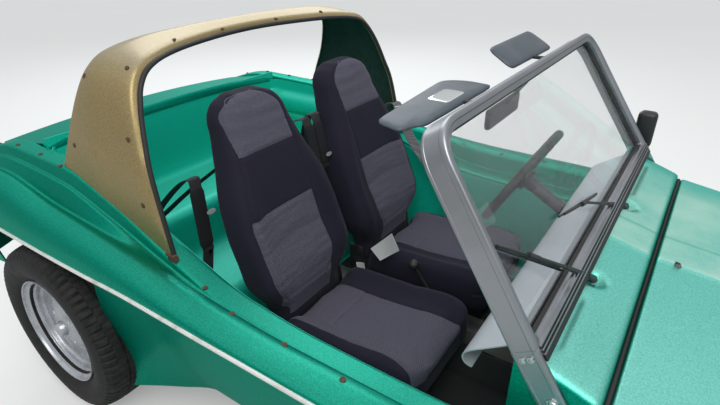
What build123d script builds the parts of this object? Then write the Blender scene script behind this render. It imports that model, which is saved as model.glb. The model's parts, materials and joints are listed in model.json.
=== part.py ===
from build123d import *
from math import cos, hypot, radians, sin, tan
import os

os.makedirs("parts", exist_ok=True)

# Open two-seat dune buggy on a shortened flat-four platform, in millimetres.
# x runs forward, y to the driver's left, z up; the origin is on the ground at mid length.

# Widths that the body, the wheels and the axles follow
tub_half_width = 600.0
body_half_width = 815.0

# Wheels and axles
wheelbase = 2100.0
rear_axle_x = -990.0
front_axle_x = rear_axle_x + wheelbase
rear_tyre_radius = 335.0
rear_tyre_width = 230.0
rear_rim_width = 200.0
rear_wheel_y = body_half_width + 30 - rear_tyre_width / 2
rear_backing_y = rear_wheel_y - 130
front_tyre_radius = 315.0
front_tyre_width = 170.0
front_rim_width = 150.0
front_wheel_y = body_half_width - 65 - front_tyre_width / 2
rim_lip_radius = 209.0
rim_barrel_radius = 186.0
rim_metal = 4.0
drum_radius = 120.0
backing_thickness = 5.0
hub_bore_radius = 22.0
running_gap = 0.3

# Steering
kingpin_y = front_wheel_y - 95
front_backing_y = kingpin_y + 22
kingpin_radius = 22.0
steer_arm_length = 90.0
steer_arm_offset = 14.0
drop_arm_length = 110.0
rod_radius = 9.0
rod_z = 345.0
column_y = 280.0
steering_wheel_x = 273.0
steering_wheel_z = 860.0
steering_wheel_radius = 200.0
column_angle = 29.0
column_gap = 60.0
box_x0 = 1235.0
box_x1 = 1345.0
box_rise = 60.0

# Body shell
body_wall = 6.0
pan_z = 205.0
pan_half_width = tub_half_width - body_wall
bulkhead_x = 700.0
tub_rear_x = -1190.0
tail_x = -1560.0
scuttle_half_width = tub_half_width + 22
scuttle_rear_x = 560.0
gutter_x = 722.0
lid_rear_x = 745.0
side_front_x = lid_rear_x
lid_front_x = 1400.0
lid_skirt = 40.0
shut_gap = 5.0
rear_arch_radius = 385.0
front_arch_radius = 392.0

# Windscreen
screen_lean = 34.4
screen_x = 587.0
screen_z = 908.0
screen_length = 475.0
screen_bottom_half = scuttle_half_width + 8
screen_top_half = screen_bottom_half - 30
screen_bar = 28.0
screen_depth = 60.0
screen_corner = 90.0
glass_thickness = 6.0

# Seats
seat_y = 262.0
seat_gap = 0.3
seat_base_z = 388.0

# Underbody
tunnel_half_width = 70.0
tunnel_top_z = 385.0
beam_x = front_axle_x + 150.0
beam_tube_radius = 30.0
beam_lower_z = 265.0
beam_upper_z = 385.0
beam_half_width = kingpin_y - 140
apron_half_width = beam_half_width - 15
torsion_x = -590.0
torsion_z = 300.0
torsion_radius = 47.0
torsion_half_width = 450.0
crank_z = 345.0


# Small helpers for outlines and solids
def band(line, wall):
    """Close an open outline into a strip of even wall on its right-hand side."""
    inner = []
    for i, (a, b) in enumerate(line):
        normals = []
        for p, q in ((i - 1, i), (i, i + 1)):
            if p < 0 or q >= len(line):
                continue
            du = line[q][0] - line[p][0]
            dv = line[q][1] - line[p][1]
            size = hypot(du, dv)
            normals.append((dv / size, -du / size))
        nu = sum(n[0] for n in normals) / len(normals)
        nv = sum(n[1] for n in normals) / len(normals)
        grow = wall / (nu * nu + nv * nv)
        inner.append((a + nu * grow, b + nv * grow))
    return list(line) + inner[::-1]


def across(x, points):
    """A face that stands across the car at x, from (y, z) points."""
    return Face(Wire.make_polygon([Vector(x, y, z) for y, z in points], close=True))


def along(y, points):
    """A face that stands along the car at y, from (x, z) points."""
    return Face(Wire.make_polygon([Vector(x, y, z) for x, z in points], close=True))


def level(z, points):
    """A level face at z, from (x, y) points."""
    return Face(Wire.make_polygon([Vector(x, y, z) for x, y in points], close=True))


def skin(faces):
    """Join sections by straight ruled surfaces."""
    return Solid.make_loft([f.outer_wire() for f in faces], ruled=True)


def plate(y0, y1, points):
    """A flat plate or block between y0 and y1 with an (x, z) outline."""
    return extrude(along(y0, points), amount=y1 - y0, dir=(0, 1, 0))


def block(x0, x1, y0, y1, z0, z1):
    """A rectangular block between two corners."""
    box = Box(x1 - x0, y1 - y0, z1 - z0)
    return Pos((x0 + x1) / 2, (y0 + y1) / 2, (z0 + z1) / 2) * box


def rod(start, end, radius):
    """A round bar from one point to another."""
    a = Vector(*start)
    b = Vector(*end)
    return Solid.make_cylinder(radius, (b - a).length, Plane(origin=a, z_dir=b - a))


def turned(x, z, points):
    """A body turned about the cross axis at x, z, from (y, radius) points."""
    face = across(x, [(y, z + r) for y, r in points])
    return revolve(face, axis=Axis((x, 0, z), (0, 1, 0)), revolution_arc=360)


def value_at(x, table, column):
    """Read a column of a station table at x by straight lines between rows."""
    for low, high in zip(table[:-1], table[1:]):
        if x <= high[0]:
            share = (x - low[0]) / (high[0] - low[0])
            return low[column] + share * (high[column] - low[column])
    return table[-1][column]


def both_sides(shape):
    """A piece and its mirror image on the other side of the car."""
    return [shape, mirror(shape, about=Plane.XZ)]


parts = {}

# Body sides: columns are x, coaming z, groove z, shoulder z, trim edge z
side_stations = [
    (tail_x, 815, 800, 764, 653),
    (-1500, 880, 850, 816, 685),
    (-1250, 940, 905, 872, 700),
    (-950, 938, 893, 828, 703),
    (-700, 876, 832, 808, 710),
    (-450, 775, 752, 786, 722),
    (-200, 694, 690, 758, 723),
    (50, 668, 664, 742, 725),
    (350, 664, 660, 742, 726),
    (side_front_x, 702, 696, 744, 714),
]
COAMING, GROOVE, SHOULDER, TRIM_EDGE = 1, 2, 3, 4


# Creases of a body side, as shares of the way from the tub wall out to the trim edge
crest_share = 0.32
groove_share = 0.35
groove_end_share = 0.42
shoulder_start_share = 0.52
shoulder_share = 0.64


def side_y(share):
    return tub_half_width + share * (body_half_width - tub_half_width)


def side_outline(coaming, groove, shoulder, edge):
    """Top of one body side from the cockpit edge out to the trim edge, (y, z)."""
    out = body_half_width
    fall = shoulder - edge
    return [
        (tub_half_width, coaming),
        (side_y(crest_share), coaming),
        (side_y(groove_share), groove),
        (side_y(groove_end_share), groove),
        (side_y(shoulder_start_share), shoulder - 10),
        (side_y(shoulder_share), shoulder),
        (out - 32, shoulder - 0.18 * fall),
        (out - 6, shoulder - 0.55 * fall),
        (out, edge),
        (out - 8, edge - 20),
    ]


# Lower side panels: columns are x, inset at mid height from the body's half width,
# outset at the bottom from the tub's half width, bottom z
lower_stations = [
    (-720, 43, 162, 175),
    (-540, 70, 68, 190),
    (-400, 87, 10, 200),
    (300, 90, 8, 200),
    (side_front_x - 30, 90, 8, 200),
]


def lower_outline(x, inset, outset, z_low):
    edge = value_at(x, side_stations, TRIM_EDGE)
    out = body_half_width
    y_mid = out - inset
    y_low = tub_half_width + outset
    return [
        (out - 10, edge - 16),
        (out - 34, edge - 27),
        (out - 42, edge - 70),
        (y_mid, 460),
        (0.5 * (y_mid + y_low), 300),
        (y_low, z_low),
    ]


def body_side():
    upper = skin([across(row[0], band(side_outline(*row[1:]), body_wall)) for row in side_stations])
    lower = skin([across(row[0], band(lower_outline(*row), body_wall)) for row in lower_stations])
    tail_outer = [
        (body_half_width - 8, 660),
        (body_half_width - 14, 560),
        (body_half_width - 30, 470),
    ]
    tail_low = skin([
        across(tail_x, band([(y, z - 42) for y, z in tail_outer], body_wall)),
        across(-1360, band(tail_outer, body_wall)),
    ])
    rear_face = side_outline(*side_stations[0][1:])
    rear_face += [(body_half_width - 30, 430), (tub_half_width, 470)]
    tail_panel = extrude(across(tail_x, rear_face), amount=body_wall, dir=(-1, 0, 0))
    near = tub_half_width - 40
    far = body_half_width + 85
    arch_top = value_at(rear_axle_x, side_stations, TRIM_EDGE) - 24
    arch = rod((rear_axle_x, near, rear_tyre_radius), (rear_axle_x, far, rear_tyre_radius), rear_arch_radius)
    arch = arch & block(-1500, -500, tub_half_width + 10, far, 0, arch_top)
    axle_z = front_tyre_radius
    front_arch = rod((front_axle_x, near, axle_z), (front_axle_x, far, axle_z), front_arch_radius)
    front_arch_top = side_stations[-1][TRIM_EDGE] - 28
    front_arch = front_arch & block(600, 1600, near, far, 0, front_arch_top)
    return upper + lower + tail_low + tail_panel - arch - front_arch


left_side, right_side = both_sides(body_side())
parts["body_side_left"] = left_side
parts["body_side_right"] = right_side

# Rear deck between the fenders, crowned at its middle
deck_crown = 28.0
deck_sections = (
    (-tub_half_width, 0),
    (-300, 0.75 * deck_crown),
    (0, deck_crown),
    (300, 0.75 * deck_crown),
    (tub_half_width, 0),
)


def coaming_z(x):
    return value_at(x, side_stations, COAMING)


def deck_section(y, crown):
    top = [(x, coaming_z(x) + crown) for x in (tub_rear_x, -1250, -1500)]
    tail_z = side_stations[0][COAMING]
    line = top + [(tail_x + 12, tail_z + crown), (tail_x, tail_z - 15), (tail_x, 690)]
    return along(y, band(line[::-1], body_wall))


parts["rear_deck"] = skin([deck_section(y, crown) for y, crown in deck_sections])

# Inner tub: rear bulkhead, rear shelf, step over the torsion tube, side walls, front bulkhead
shelf_z = 645.0
step_z = 425.0
floor_top = pan_z + 4
shelf_line = [
    (tub_rear_x + body_wall, 968),
    (tub_rear_x + 28, 700),
    (tub_rear_x + 55, shelf_z),
    (-850, shelf_z - 18),
    (-822, step_z + 25),
    (-545, step_z - 25),
    (-515, floor_top),
]
bulkhead_top = 806.0

# Tub side walls: columns are x, how far the rear corner stands in, and the share of the full wheel box
tub_wall_stations = [
    (tub_rear_x, 45, 1.0),
    (tub_rear_x + 25, 15, 1.0),
    (tub_rear_x + 60, 0, 1.0),
    (-950, 0, 1.0),
    (-840, 0, 1.0),
    (-785, 0, 0.84),
    (-740, 0, 0.57),
    (-700, 0, 0.30),
    (-660, 0, 0.09),
    (-620, 0, 0),
    (-450, 0, 0),
    (-200, 0, 0),
    (50, 0, 0),
    (350, 0, 0),
    (bulkhead_x, 0, 0),
]
# Ledges of a wheel box: how far each stands in from the wall, and its height from the upper ledge
wheel_box_ledges = (
    (6, 6),
    (46, -14),
    (58, -50),
    (50, -80),
    (33, -95),
    (44, -110),
    (30, -190),
    (60, -245),
)
upper_ledge_z = 872.0


def tub_wall_outline(x, corner, box_share):
    """Inner face of a tub side wall at x, from the floor up, (y, z)."""
    top = value_at(x, side_stations, COAMING)
    ledge_z = min(upper_ledge_z, top - 57)
    inside = tub_half_width - body_wall - corner
    line = [(inside, top)]
    line += [(inside - box_share * depth, ledge_z + rise) for depth, rise in wheel_box_ledges]
    line += [(inside, 230), (inside, pan_z)]
    return line[::-1]


def tub_wall():
    low = band(shelf_line, body_wall)[len(shelf_line):]
    behind = tub_rear_x - 60
    under = [(-515, pan_z)] + low[1:] + [(behind, low[-1][1]), (behind, 0), (-515, 0)]
    below = plate(tub_half_width - 200, tub_half_width + 20, under)
    wall = skin([across(row[0], band(tub_wall_outline(*row), body_wall)) for row in tub_wall_stations])
    return wall - below


def cockpit_tub():
    inside = tub_half_width - body_wall
    shelf = plate(-inside, inside, band(shelf_line, body_wall))
    walls = both_sides(tub_wall())
    front = block(bulkhead_x - body_wall, bulkhead_x, -inside, inside, floor_top, bulkhead_top)
    column = rod(
        (bulkhead_x - 60, column_y, column_height(bulkhead_x - 60)),
        (bulkhead_x + 60, column_y, column_height(bulkhead_x + 60)),
        30,
    )
    tub = shelf + walls[0] + walls[1] + (front - column)
    over_deck = skin([
        along(y, [(x, coaming_z(x) + crown) for x in (tub_rear_x - 40, tub_rear_x + 40)]
              + [(tub_rear_x + 40, 1100), (tub_rear_x - 40, 1100)])
        for y, crown in deck_sections
    ])
    return tub - over_deck


def column_height(x):
    return steering_wheel_z - tan(radians(column_angle)) * (x - steering_wheel_x)


box_z0 = beam_upper_z + beam_tube_radius
lower_shaft_x0 = bulkhead_x + 30
lower_shaft_x1 = box_x0 + 10


def lower_shaft_height(x):
    share = (x - lower_shaft_x0) / (lower_shaft_x1 - lower_shaft_x0)
    start = column_height(lower_shaft_x0)
    return start + share * (box_z0 + box_rise - start)


parts["cockpit_tub"] = cockpit_tub()

# Raised flat band along the middle of the scuttle and the bonnet: half width, bevel and height
band_half = 60.0
band_bevel = 12.0
band_rise = 4.0

# Scuttle: crowned top behind the bonnet with upright sides and a rain gutter at its front edge
scuttle_stations = [
    (scuttle_rear_x, 912, 923),
    (640, 889, 906),
    (gutter_x, 862, 886),
]
front_lid_half = scuttle_half_width - 10


def scuttle_outline(edge, centre):
    half = scuttle_half_width
    right = [
        (half, 640),
        (half, edge - 16),
        (half - 14, edge - 2),
        (half - 80, edge + 6),
        (0.45 * half, centre - 8),
        (band_half + band_bevel, centre - band_rise),
        (band_half, centre),
    ]
    return [(-y, z) for y, z in right] + right[::-1]


def scuttle():
    cover = skin([across(x, band(scuttle_outline(e, c), body_wall)) for x, e, c in scuttle_stations])
    edge = scuttle_stations[-1][1]
    half = scuttle_half_width - body_wall
    reach = front_lid_half - body_wall - shut_gap - 3
    channel = plate(-reach, reach, band([
        (gutter_x - body_wall, edge - 40),
        (gutter_x - body_wall, edge - 52),
        (lid_rear_x + 20, edge - 52),
        (lid_rear_x + 20, edge - 34),
    ], -3.0))
    web = block(gutter_x - body_wall, gutter_x, -half, half, edge - 49, edge + 10)
    under = scuttle_outline(edge - 6, scuttle_stations[-1][2] - 6)[1:-1]
    over = under + [(half, edge + 90), (-half, edge + 90)]
    web = web - skin([across(x, over) for x in (gutter_x - 20, gutter_x + 20)])
    shell = cover + (channel + web)
    return top_solid(shell - left_side - right_side)


def top_solid(shape):
    """The highest solid of a cut piece."""
    return sorted(shape.solids(), key=lambda s: s.bounding_box().max.Z)[-1]


parts["scuttle"] = scuttle()

# Front body: columns are x, centre z, lid edge z, narrowing of the lid, valley z, wing z, edge z,
# and what the half width stands in from the body's
front_rows = [
    (lid_rear_x, 884, 850, 0, 702, 744, 714, 0),
    (900, 868, 832, 12, 692, 750, 708, -1),
    (front_axle_x, 838, 800, 50, 690, 750, 696, -1),
    (1300, 790, 745, 107, 662, 726, 660, 9),
    (lid_front_x + shut_gap, 752, 702, 154, 625, 690, 610, 27),
    (1530, 668, 612, 207, 560, 600, 515, 80),
    (1620, 545, 500, 237, 455, 480, 415, 155),
    (1668, 400, 385, 262, 365, 372, 335, 225),
]
front_stations = [
    (x, centre, lid_edge, front_lid_half - narrow, valley, wing, edge, body_half_width - inset)
    for x, centre, lid_edge, narrow, valley, wing, edge, inset in front_rows
]
LID_EDGE, LID_HALF, VALLEY = 2, 3, 4
apron_low_z = 425.0
lid_bay_x = 1180.0
lid_bay_z = 464.0


def front_outline(centre, lid_edge, lid_half, valley, wing, edge, half):
    fall = wing - edge
    right = [
        (half - 8, edge - 22),
        (half, edge),
        (half - 7, wing - 0.6 * fall),
        (half - 32, wing - 0.2 * fall),
        (half - 82, wing),
        (lid_half + 34, valley),
        (lid_half + 10, valley + 18),
        (lid_half, lid_edge - 15),
        (lid_half - 14, lid_edge),
        (0.6 * lid_half, centre - 0.3 * (centre - lid_edge)),
        (band_half + band_bevel, centre - band_rise),
        (band_half, centre),
    ]
    return [(-y, z) for y, z in right] + right[::-1]


def lid_region(drop, rear_x, front_x):
    """The space of the bonnet: everything above a line along its skirt."""
    rows = [row for row in front_stations if rear_x < row[0] < front_x]
    faces = []
    for x in [rear_x] + [row[0] for row in rows] + [front_x]:
        low = value_at(x, front_stations, LID_EDGE) - drop
        half = value_at(x, front_stations, LID_HALF) + 32
        faces.append(across(x, [(-half, low), (half, low), (half, 1000), (-half, 1000)]))
    return skin(faces)


hinge_x = lid_front_x + 2
hinge_z = 764.0
hinge_ys = (-230.0, 230.0)
hinge_pin_radius = 5.0
hinge_eye_radius = 9.0
hinge_lug_half = 8.0
hinge_half = 26.0


def hinge_lug(y):
    """Fixed half of a bonnet hinge: a lug on the nose with its cross pin."""
    lug = plate(y - hinge_lug_half, y + hinge_lug_half, [
        (hinge_x, hinge_z + hinge_eye_radius), (hinge_x - 4, hinge_z), (hinge_x + 4, hinge_z - 34),
        (hinge_x + 44, hinge_z - 48), (hinge_x + 44, hinge_z - 36), (hinge_x + 12, hinge_z + 4),
    ])
    pin = rod((hinge_x, y - hinge_half, hinge_z), (hinge_x, y + hinge_half, hinge_z), hinge_pin_radius)
    return lug + pin


def hinge_strap(y):
    """Moving half: two eyes on a strap that lies on the lid."""
    strap = None
    for side in (-1, 1):
        near = y + side * (hinge_lug_half + running_gap)
        far = y + side * (hinge_half - 2)
        low, high = sorted((near, far))
        leaf = plate(low, high, [
            (hinge_x - 4, hinge_z + 8), (hinge_x - 57, hinge_z + 12), (hinge_x - 57, hinge_z - 4),
            (hinge_x - 10, hinge_z - 20), (hinge_x - 4, hinge_z - 8),
        ])
        eye = rod((hinge_x, low, hinge_z), (hinge_x, high, hinge_z), hinge_eye_radius)
        hole = rod((hinge_x, low - 1, hinge_z), (hinge_x, high + 1, hinge_z), hinge_pin_radius + running_gap)
        piece = leaf + eye - hole
        strap = piece if strap is None else strap + piece
    return strap


def front_shell():
    return skin([across(row[0], band(front_outline(*row[1:]), body_wall)) for row in front_stations])


def front_body():
    shell = front_shell() - lid_region(lid_skirt + shut_gap, lid_rear_x - 20, lid_front_x + shut_gap)
    rows = front_stations[:5]
    inner_wing = skin([
        across(row[0], band([
            (row[LID_HALF] + 14, row[VALLEY] - 2),
            (apron_half_width, row[VALLEY] - 2),
            (apron_half_width, apron_low_z),
        ], body_wall))
        for row in rows
    ])
    front_x = rows[-1][0]
    nose_line = [(front_x, apron_low_z), (front_x, 680), (1500, 560), (1540, 470), (1500, apron_low_z)]
    nose_wall = plate(apron_half_width - body_wall, apron_half_width, nose_line)
    aprons = both_sides(nose_wall - shell_fill())
    aprons += both_sides(inner_wing)
    near = apron_half_width + 25
    far = body_half_width + 85
    axle_z = front_tyre_radius
    arch = rod((front_axle_x, near, axle_z), (front_axle_x, far, axle_z), front_arch_radius)
    arch = arch & block(600, 1600, near - 5, far, 0, front_rows[0][6] - 32)
    arches = both_sides(arch)
    half = apron_half_width - body_wall
    floor = block(side_front_x, lid_bay_x, -half, half, lid_bay_z, lid_bay_z + body_wall)
    front = block(lid_bay_x, lid_bay_x + body_wall, -half, half, lid_bay_z, lid_bay_z + 76)
    body = shell - arches[0] - arches[1]
    for apron in aprons:
        body = body + apron
    for y in hinge_ys:
        body = body + hinge_lug(y)
    ends = [(x, column_y, lower_shaft_height(x)) for x in (lid_bay_x - 30, lid_bay_x + 40)]
    hole = rod(ends[0], ends[1], 18)
    return body + floor + (front - hole)


def shell_fill():
    """The space above the wings, used to trim what stands under them."""
    faces = []
    for row in front_stations:
        line = front_outline(*row[1:])
        low = band(line, body_wall)[len(line):]
        faces.append(across(row[0], low + [(-900, low[-1][1]), (-900, 1200), (900, 1200), (900, low[0][1])]))
    return skin(faces)


parts["front_body"] = front_body()


def bonnet():
    lid = front_shell() & lid_region(lid_skirt, lid_rear_x, lid_front_x)
    for y in hinge_ys:
        lid = lid + hinge_strap(y)
    return lid


parts["bonnet"] = bonnet()

# Roll hoop on the crests of the body sides: columns are front x, front y, front z, rear x, rear y, rear z
# and outward bulge, from the base to the middle of the top, with each y as a share of the base's
hoop_wall = 6.0
hoop_base_y = side_y(0.28)
hoop_rows = [
    (-436, 1.0, 760, -962, 1.0, 912, 3),
    (-488, 0.985, 1000, -920, 0.977, 1010, 16),
    (-519, 0.955, 1100, -874, 0.955, 1110, 22),
    (-548, 0.915, 1190, -840, 0.918, 1200, 24),
    (-572, 0.864, 1252, -818, 0.87, 1262, 24),
    (-592, 0.78, 1290, -804, 0.782, 1304, 24),
    (-640, 0.591, 1304, -796, 0.591, 1326, 22),
    (-690, 0.288, 1308, -794, 0.288, 1334, 18),
    (-705, 0.0, 1310, -794, 0.0, 1336, 16),
]
hoop_stations = [
    (fx, fy * hoop_base_y, fz, rx, ry * hoop_base_y, rz, bulge)
    for fx, fy, fz, rx, ry, rz, bulge in hoop_rows
]


def hoop_section(fx, fy, fz, rx, ry, rz, bulge, wall):
    """A closed strip from the front edge to the rear edge, bulged outward."""
    centre_y, centre_z = 0.0, 900.0
    points = []
    shares = ((0.0, 0.0), (0.03, 0.7), (0.12, 1.0), (0.55, 1.15), (0.85, 0.6), (1.0, 0.0))
    for depth in (0.0, wall):
        row = []
        for share, lift in shares:
            x = fx + share * (rx - fx)
            y = fy + share * (ry - fy)
            z = fz + share * (rz - fz)
            out_y = y - centre_y
            out_z = max(z - 1150.0, 0.0) * 3.0
            size = hypot(out_y, out_z)
            step = bulge * lift - depth
            row.append(Vector(x, y + step * out_y / size, z + step * out_z / size))
        points.append(row)
    return Wire.make_polygon(points[0] + points[1][::-1], close=True)


def roll_hoop():
    rows = list(hoop_stations)
    right = [(r[0], -r[1], r[2], r[3], -r[4], r[5], r[6]) for r in rows[:-1]]
    wires = [hoop_section(*r, hoop_wall) for r in right + rows[::-1]]
    return top_solid(Solid.make_loft(wires, ruled=True) - left_side - right_side)


hoop = roll_hoop()
parts["roll_hoop"] = hoop

trim_radius = 8.0


def hoop_edge_trim():
    rows = list(hoop_stations)
    left = [(r[0] + 4, r[1] - 3, r[2] - 3) for r in rows[::-1]]
    right = [(x, -y, z) for x, y, z in left[:0:-1]]
    path = FilletPolyline(*[Vector(*p) for p in right + left], radius=18)
    tube = sweep(Plane(origin=path @ 0, z_dir=path % 0) * RegularPolygon(trim_radius, 6), path=path)
    return top_solid(tube - hoop - left_side - right_side)


parts["hoop_edge_trim"] = hoop_edge_trim()


# White trim strip along each trim edge
strip_height = 9.0
strip_depth = 4.0


def trim_strip():
    out = body_half_width
    faces = []
    for row in side_stations:
        low = row[TRIM_EDGE] - 14
        line = [(out + 12, low - 6), (out - 4, low), (out - 2, low + strip_height), (out + 12, low + 6)]
        faces.append(across(row[0], line))
    strip = skin(faces)
    limit = skin([
        across(row[0], [(700, 400), (out + strip_depth, 400), (out + strip_depth, 900), (700, 900)])
        for row in (side_stations[0], side_stations[-1])
    ])
    return (strip & limit) - left_side


parts["side_trim_strips"] = Compound(both_sides(trim_strip()))

# Windscreen: a leaning frame of box section with round top corners; its sides run on in the same lean
# as two flat legs beside the scuttle
leg_drop = 190.0
screen_plane = Plane(
    origin=(screen_x, 0, screen_z),
    x_dir=(0, 1, 0),
    z_dir=(cos(radians(screen_lean)), 0, sin(radians(screen_lean))),
)


def on_screen(across_y, up, out):
    """A point at a place across, a height up and a distance out of the glass."""
    return screen_plane.from_local_coords(Vector(across_y, up, out))


def screen_outline(inset):
    """Face of the screen opening or frame, in the plane of the glass."""
    low = screen_bottom_half - inset
    high = screen_top_half - inset
    top = screen_length - inset
    corner = screen_corner - inset
    base = Polygon((-low, inset), (low, inset), (high, top), (-high, top), align=None)
    return fillet(base.vertices().group_by(Axis.Y)[-1], corner)


def screen_solid(inset, depth):
    return extrude(screen_plane * screen_outline(inset), amount=depth / 2, both=True)


def windscreen_frame():
    ring = screen_solid(0, screen_depth) - screen_solid(screen_bar, screen_depth + 10)
    low = block(300, 700, -700, 700, 700, screen_z - 8)
    half = screen_depth / 2
    corners = [(20, -half), (20, half), (-leg_drop, half), (-leg_drop, -half)]
    leg_line = [(point.X, point.Z) for point in (on_screen(0, up, out) for up, out in corners)]
    legs = both_sides(plate(scuttle_half_width, scuttle_half_width + 8, leg_line))
    frame = ring - low
    scuttle_top = skin([
        across(x, scuttle_outline(e, c)[1:-1] + [(scuttle_half_width, 600), (-scuttle_half_width, 600)])
        for x, e, c in scuttle_stations
    ])
    return frame - scuttle_top + legs[0] + legs[1]


parts["windscreen_frame"] = windscreen_frame()
parts["windscreen_glass"] = screen_solid(screen_bar, glass_thickness) - parts["scuttle"]

# Wipers through the scuttle: columns are spindle y, blade centre y and height up the glass,
# and the angle at which the blade falls towards the left
wiper_rows = (
    (370 - screen_bottom_half, 178 - screen_bottom_half, 130, 39.0),
    (168, -88, 95, 11.4),
)
wiper_x = 634.0
wiper_stand_off = 22.0
wiper_blade_half = 144.0


def wiper(y, blade_y, height, fall):
    base_z = 905.0
    foot = rod((wiper_x, y, base_z - 30), (wiper_x, y, base_z + 22), 9)
    up = Vector(-sin(radians(screen_lean)), 0, cos(radians(screen_lean)))
    out = Vector(cos(radians(screen_lean)), 0, sin(radians(screen_lean)))
    middle = Vector(screen_x, blade_y, screen_z) + up * height + out * wiper_stand_off
    arm = rod(Vector(wiper_x, y, base_z + 15), middle, 4)
    reach = (up * sin(radians(fall)) - Vector(0, 1, 0) * cos(radians(fall))) * wiper_blade_half
    blade = rod(middle - reach, middle + reach, 5)
    return top_solid((foot + arm + blade) - parts["scuttle"])


parts["wipers"] = Compound([wiper(*row) for row in wiper_rows])

# Sun visors behind the top rail: an (x, y) outline, the x of its front edge, the tilt of its rear
# edge upward, and the y of its arm
visor_z = 1282.0
visor_thickness = 18.0
visor_rows = (
    ([(177, -524), (243, -554), (270, -468), (223, -155), (141, -162)], 260, 0, -330),
    ([(178, 36), (268, 30), (273, 396), (178, 388)], 268, 30, 215),
)


def visor(outline, front_x, tilt, arm_y):
    pad = extrude(level(visor_z - visor_thickness / 2, outline), amount=visor_thickness, dir=(0, 0, 1))
    pad = fillet(pad.edges().filter_by(Axis.Z), 22)
    pad = pad.rotate(Axis((front_x, 0, visor_z), (0, 1, 0)), tilt)
    arm = rod((front_x - 30, arm_y, visor_z), (322, arm_y, visor_z + 2), 6)
    return (pad + arm) - parts["windscreen_frame"] - parts["windscreen_glass"]


parts["sun_visors"] = Compound([visor(*row) for row in visor_rows])

# Dashboard: flat shelf from the screen base with a rolled rear edge
dash_line = [(scuttle_rear_x, 905), (458, 832), (448, 822), (447, 808), (455, 796), (470, 794)]


def shelf_height(x):
    (x1, z1), (x0, z0) = dash_line[:2]
    return z0 + (z1 - z0) * (x - x0) / (x1 - x0)


def dashboard():
    half = tub_half_width - body_wall - 1
    dash = plate(-half, half, band(dash_line, -4.0))
    shaft = rod((400, column_y, column_height(400)), (700, column_y, column_height(700)), 27)
    end = block(scuttle_rear_x - 3, scuttle_rear_x, -half, half, 800, 905)
    return main_solid(dash + end - shaft - parts["scuttle"] - parts["windscreen_frame"])


def main_solid(shape):
    """The largest solid of a cut piece."""
    return sorted(shape.solids(), key=lambda s: s.volume)[-1]


parts["dashboard"] = dashboard()

# Steering gear: column tube, lower shaft, gear box on the upper beam tube
drop_x = front_axle_x + steer_arm_length + drop_arm_length


def steering_gear():
    head = (steering_wheel_x + column_gap, column_y, column_height(steering_wheel_x + column_gap))
    joint = (lower_shaft_x0, column_y, column_height(lower_shaft_x0))
    tube = rod(head, joint, 22)
    low = column_height(520) + 20
    bracket_line = [(500, low), (540, low), (540, shelf_height(540)), (500, shelf_height(500))]
    bracket = plate(column_y - 26, column_y + 26, bracket_line) - parts["dashboard"]
    lower = rod(joint, (lower_shaft_x1, column_y, box_z0 + box_rise), 11)
    box = block(box_x0, box_x1, column_y - 42, column_y + 42, box_z0, box_z0 + 95)
    box = fillet(box.edges().filter_by(Axis.Z), 20)
    shaft = rod((drop_x, column_y, rod_z + 40), (drop_x, column_y, box_z0 + 5), 13)
    return tube + bracket + lower + box + shaft


parts["steering_gear"] = steering_gear() - parts["cockpit_tub"]

# Steering wheel: padded rim, three flat spokes and hub on the column
rim_grip = 15.0


def steering_wheel():
    axis = Vector(-cos(radians(column_angle)), 0, sin(radians(column_angle)))
    centre = Vector(steering_wheel_x, column_y, steering_wheel_z)
    plane = Plane(origin=centre, x_dir=(0, 1, 0), z_dir=axis)
    ring = Pos(steering_wheel_radius - rim_grip, 0, 0) * (Rot(90, 0, 0) * RegularPolygon(rim_grip, 8))
    rim = plane * revolve(ring, axis=Axis.Z, revolution_arc=360)
    hub = plane * Pos(0, 0, -12) * Cylinder(42, 36)
    spokes = []
    for turn in (0, 180, 270):
        spoke = Pos(95, 0, -10) * Box(170, 34, 6)
        spokes.append(plane * (Rot(0, 0, turn) * spoke))
    reach = column_gap / cos(radians(column_angle)) - running_gap
    boss = plane * Pos(0, 0, -(20 + reach) / 2) * Cylinder(20, reach - 20)
    return rim + hub + boss + spokes[0] + spokes[1] + spokes[2]


parts["steering_wheel"] = steering_wheel()

# Floor: flat pans each side of the backbone tunnel, and the narrow frame head at the front
def floor_pan():
    rear = -505.0
    pans = block(rear, bulkhead_x - body_wall, -pan_half_width, pan_half_width, pan_z, pan_z + 4)
    half = tunnel_half_width
    line = [(half, pan_z), (half, tunnel_top_z - 35), (half - 30, tunnel_top_z)]
    ridge = band([(-y, z) for y, z in line] + line[::-1], 3.0)
    tunnel = extrude(across(rear, ridge), amount=bulkhead_x - body_wall - rear, dir=(1, 0, 0))
    head = block(bulkhead_x - body_wall, beam_x - beam_tube_radius + 2, -60, 60, pan_z, 300)
    return pans + tunnel + head


beam_tubes = [
    rod((beam_x, -beam_half_width, z), (beam_x, beam_half_width, z), beam_tube_radius)
    for z in (beam_lower_z, beam_upper_z)
]
parts["floor_pan"] = floor_pan() - beam_tubes[0] - beam_tubes[1]
parts["cockpit_tub"] = parts["cockpit_tub"] - parts["floor_pan"]

# Front axle beam: two cross tubes joined by upright plates, with a towing eye ahead of the tyres
tow_x = beam_x + 225.0
tow_thickness = 8.0
tow_hole_radius = 15.0


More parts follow.
